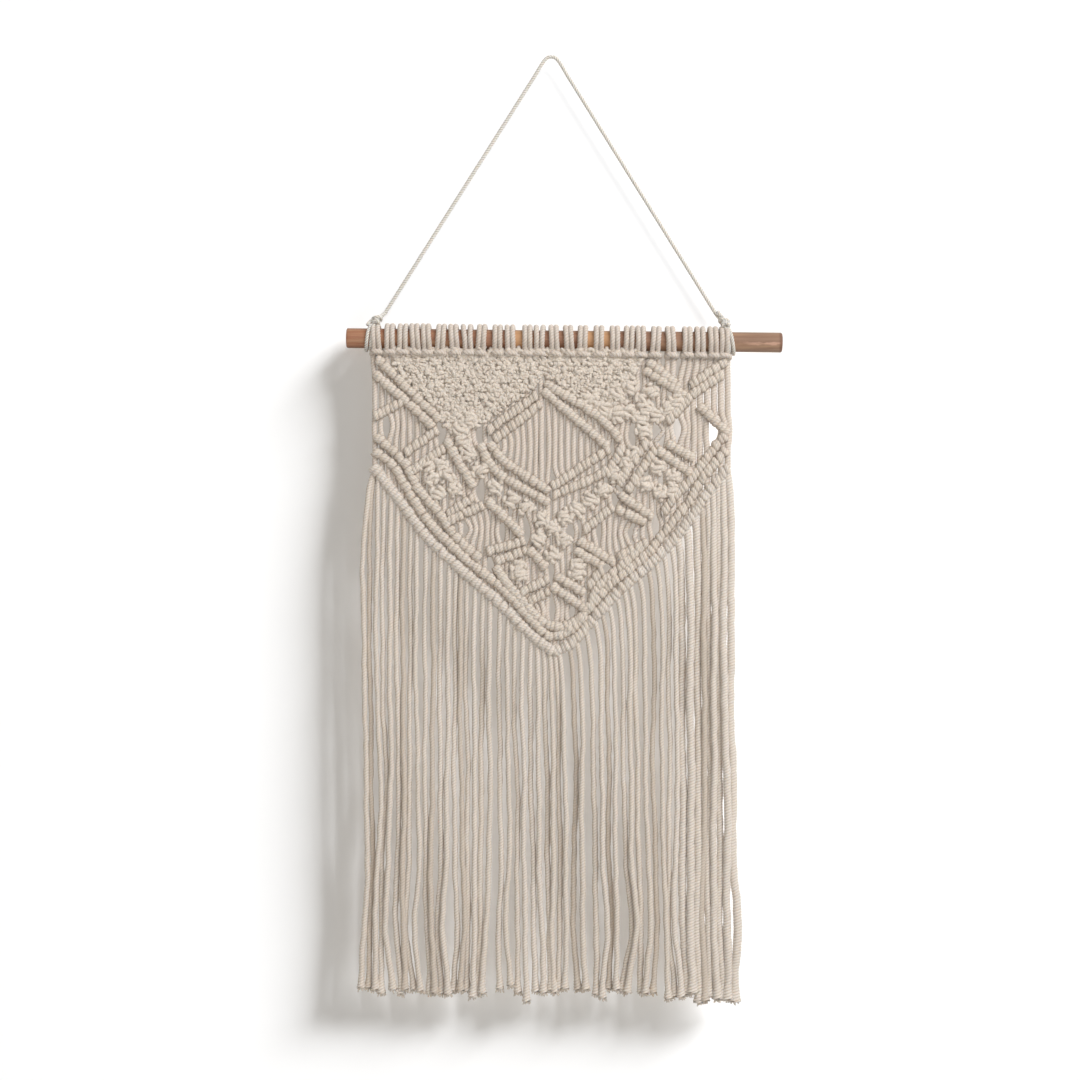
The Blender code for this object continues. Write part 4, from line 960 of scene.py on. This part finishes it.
# the room: wall, floor and light
room = {
    "wallY": 14.5, "wallHalf": 2600.0, "wallTop": 2200.0, "floorDrop": 2000.0, "floorFront": -3500.0,
    "wall": (0.93, 0.93, 0.93, 1), "floor": (0.80, 0.79, 0.77, 1), "floorPatch": (0.76, 0.75, 0.73, 1),
    "sky": (1.0, 1.0, 1.0, 1), "skyStrength": 0.06, "skySeen": 0.7, "aim": (-9.1, 0.0, -400.0),
}
# lamps: where from, how far and how large in metres, power, colour, which pieces they light, and which pieces
# throw their shadow
lamps = {
    "keyOnWall": {"from": (2.15, -1.0, 1.7), "away": 25.0, "size": 8.0, "power": 12200.0,
                  "colour": (0.98, 1.0, 1.03), "lights": "wall", "shadowOf": "solid"},
    "fillOnWall": {"from": (0.5, -1.0, 0.76), "away": 5.0, "size": 1.4, "power": 98.0,
                   "colour": (1.0, 0.94, 0.86), "lights": "wall", "shadowOf": "hanger"},
    "keyOnWork": {"from": (1.1, -1.3, 1.1), "away": 3.0, "size": 2.1, "power": 93.0,
                  "colour": (1.0, 1.0, 1.0), "lights": "work"},
    "fillOnWork": {"from": (-0.4, -1.5, 0.3), "away": 5.0, "size": 3.5, "power": 101.0,
                   "colour": (1.0, 0.97, 0.92), "lights": "work", "shadowOf": "wall"},
}


def makeSheet(name, corners, made):
    # One flat face for the stage.
    mesh = bpy.data.meshes.new(name)
    mesh.from_pydata((np.array(corners) * mm).tolist(), [], [(0, 1, 2, 3)])
    mesh.materials.append(made.owner)
    addObject(name, mesh)


def makeWall():
    # The wall faces the room; from behind it is clear, so the back of the work can be seen.
    half, top, bottom, y = room["wallHalf"], room["wallTop"], -room["floorDrop"], room["wallY"]
    made = Finish(bpy.data.materials.new("wallPaint"))
    bump = made.bump(made.noise(made.spot(), 180.0, 3.0), 0.05, 0.0003)
    paint = made.surface({"Base Color": room["wall"], "Roughness": 0.95, "Specular IOR Level": 0.0,
                          "Normal": bump})
    clear = made.node("ShaderNodeBsdfTransparent", {}, {})
    behind = made.node("ShaderNodeNewGeometry", {}, {}).out("Backfacing")
    made.show("Material Output", behind, paint, clear)
    makeSheet("wall", ((-half, y, bottom), (half, y, bottom), (half, y, top), (-half, y, top)), made)


def makeFloor():
    half, y, front, drop = room["wallHalf"], room["wallY"], room["floorFront"], -room["floorDrop"]
    made = Finish(bpy.data.materials.new("floorPaint"))
    patch = made.noise(made.spot(), 3.0, 2.0)
    colour = made.mix(patch * 0.2, room["floor"], room["floorPatch"])
    made.surface({"Base Color": colour, "Roughness": 0.85})
    makeSheet("floor", ((-half, front, drop), (half, front, drop), (half, y, drop), (-half, y, drop)), made)


def makeLamp(name, look, groups):
    # A square lamp that faces the middle of the work; its light reaches one group of pieces only.
    away = unit(np.array(look["from"])) * look["away"] / mm
    lamp = bpy.data.lights.new(name, "AREA")
    lamp.shape = "SQUARE"
    lamp.size = look["size"]
    lamp.energy = look["power"]
    lamp.color = look["colour"]
    holder = addObject(name, lamp)
    holder.location = (np.array(room["aim"]) + away) * mm
    x, y, z = away
    holder.rotation_euler = (math.acos(z / np.linalg.norm(away)), 0, math.atan2(y, x) + math.pi / 2)
    holder.light_linking.receiver_collection = groups[look["lights"]]
    if "shadowOf" in look:
        holder.light_linking.blocker_collection = groups[look["shadowOf"]]


def makeLight():
    # The wall is one group and the pieces and the floor are the other, so the wall's exposure doesn't depend
    # on theirs. The rod is in no shadow group: its bare ends would throw hard corners beside the soft shadow.
    groups = {name: bpy.data.collections.new(name + "Group") for name in ("wall", "work", "solid", "hanger")}
    for thing in bpy.context.scene.collection.all_objects:
        if thing.type == "MESH":
            groups["wall" if thing.name == "wall" else "work"].objects.link(thing)
            if thing.name != "rod":
                groups["hanger" if thing.name == "hangerCord" else "solid"].objects.link(thing)
    for name, look in lamps.items():
        makeLamp(name, look, groups)
    sky = Finish(bpy.data.worlds.new("softSky"))
    bpy.context.scene.world = sky.owner
    lit = sky.node("ShaderNodeBackground", {}, {"Color": room["sky"], "Strength": room["skyStrength"]})
    seen = sky.node("ShaderNodeBackground", {}, {"Strength": room["skySeen"]})
    toCamera = sky.node("ShaderNodeLightPath", {}, {}).out("Is Camera Ray")
    sky.show("World Output", toCamera, lit, seen)


makeWall()
makeFloor()
makeLight()
bpy.context.scene.view_settings.view_transform = "Standard"
print("room lit")
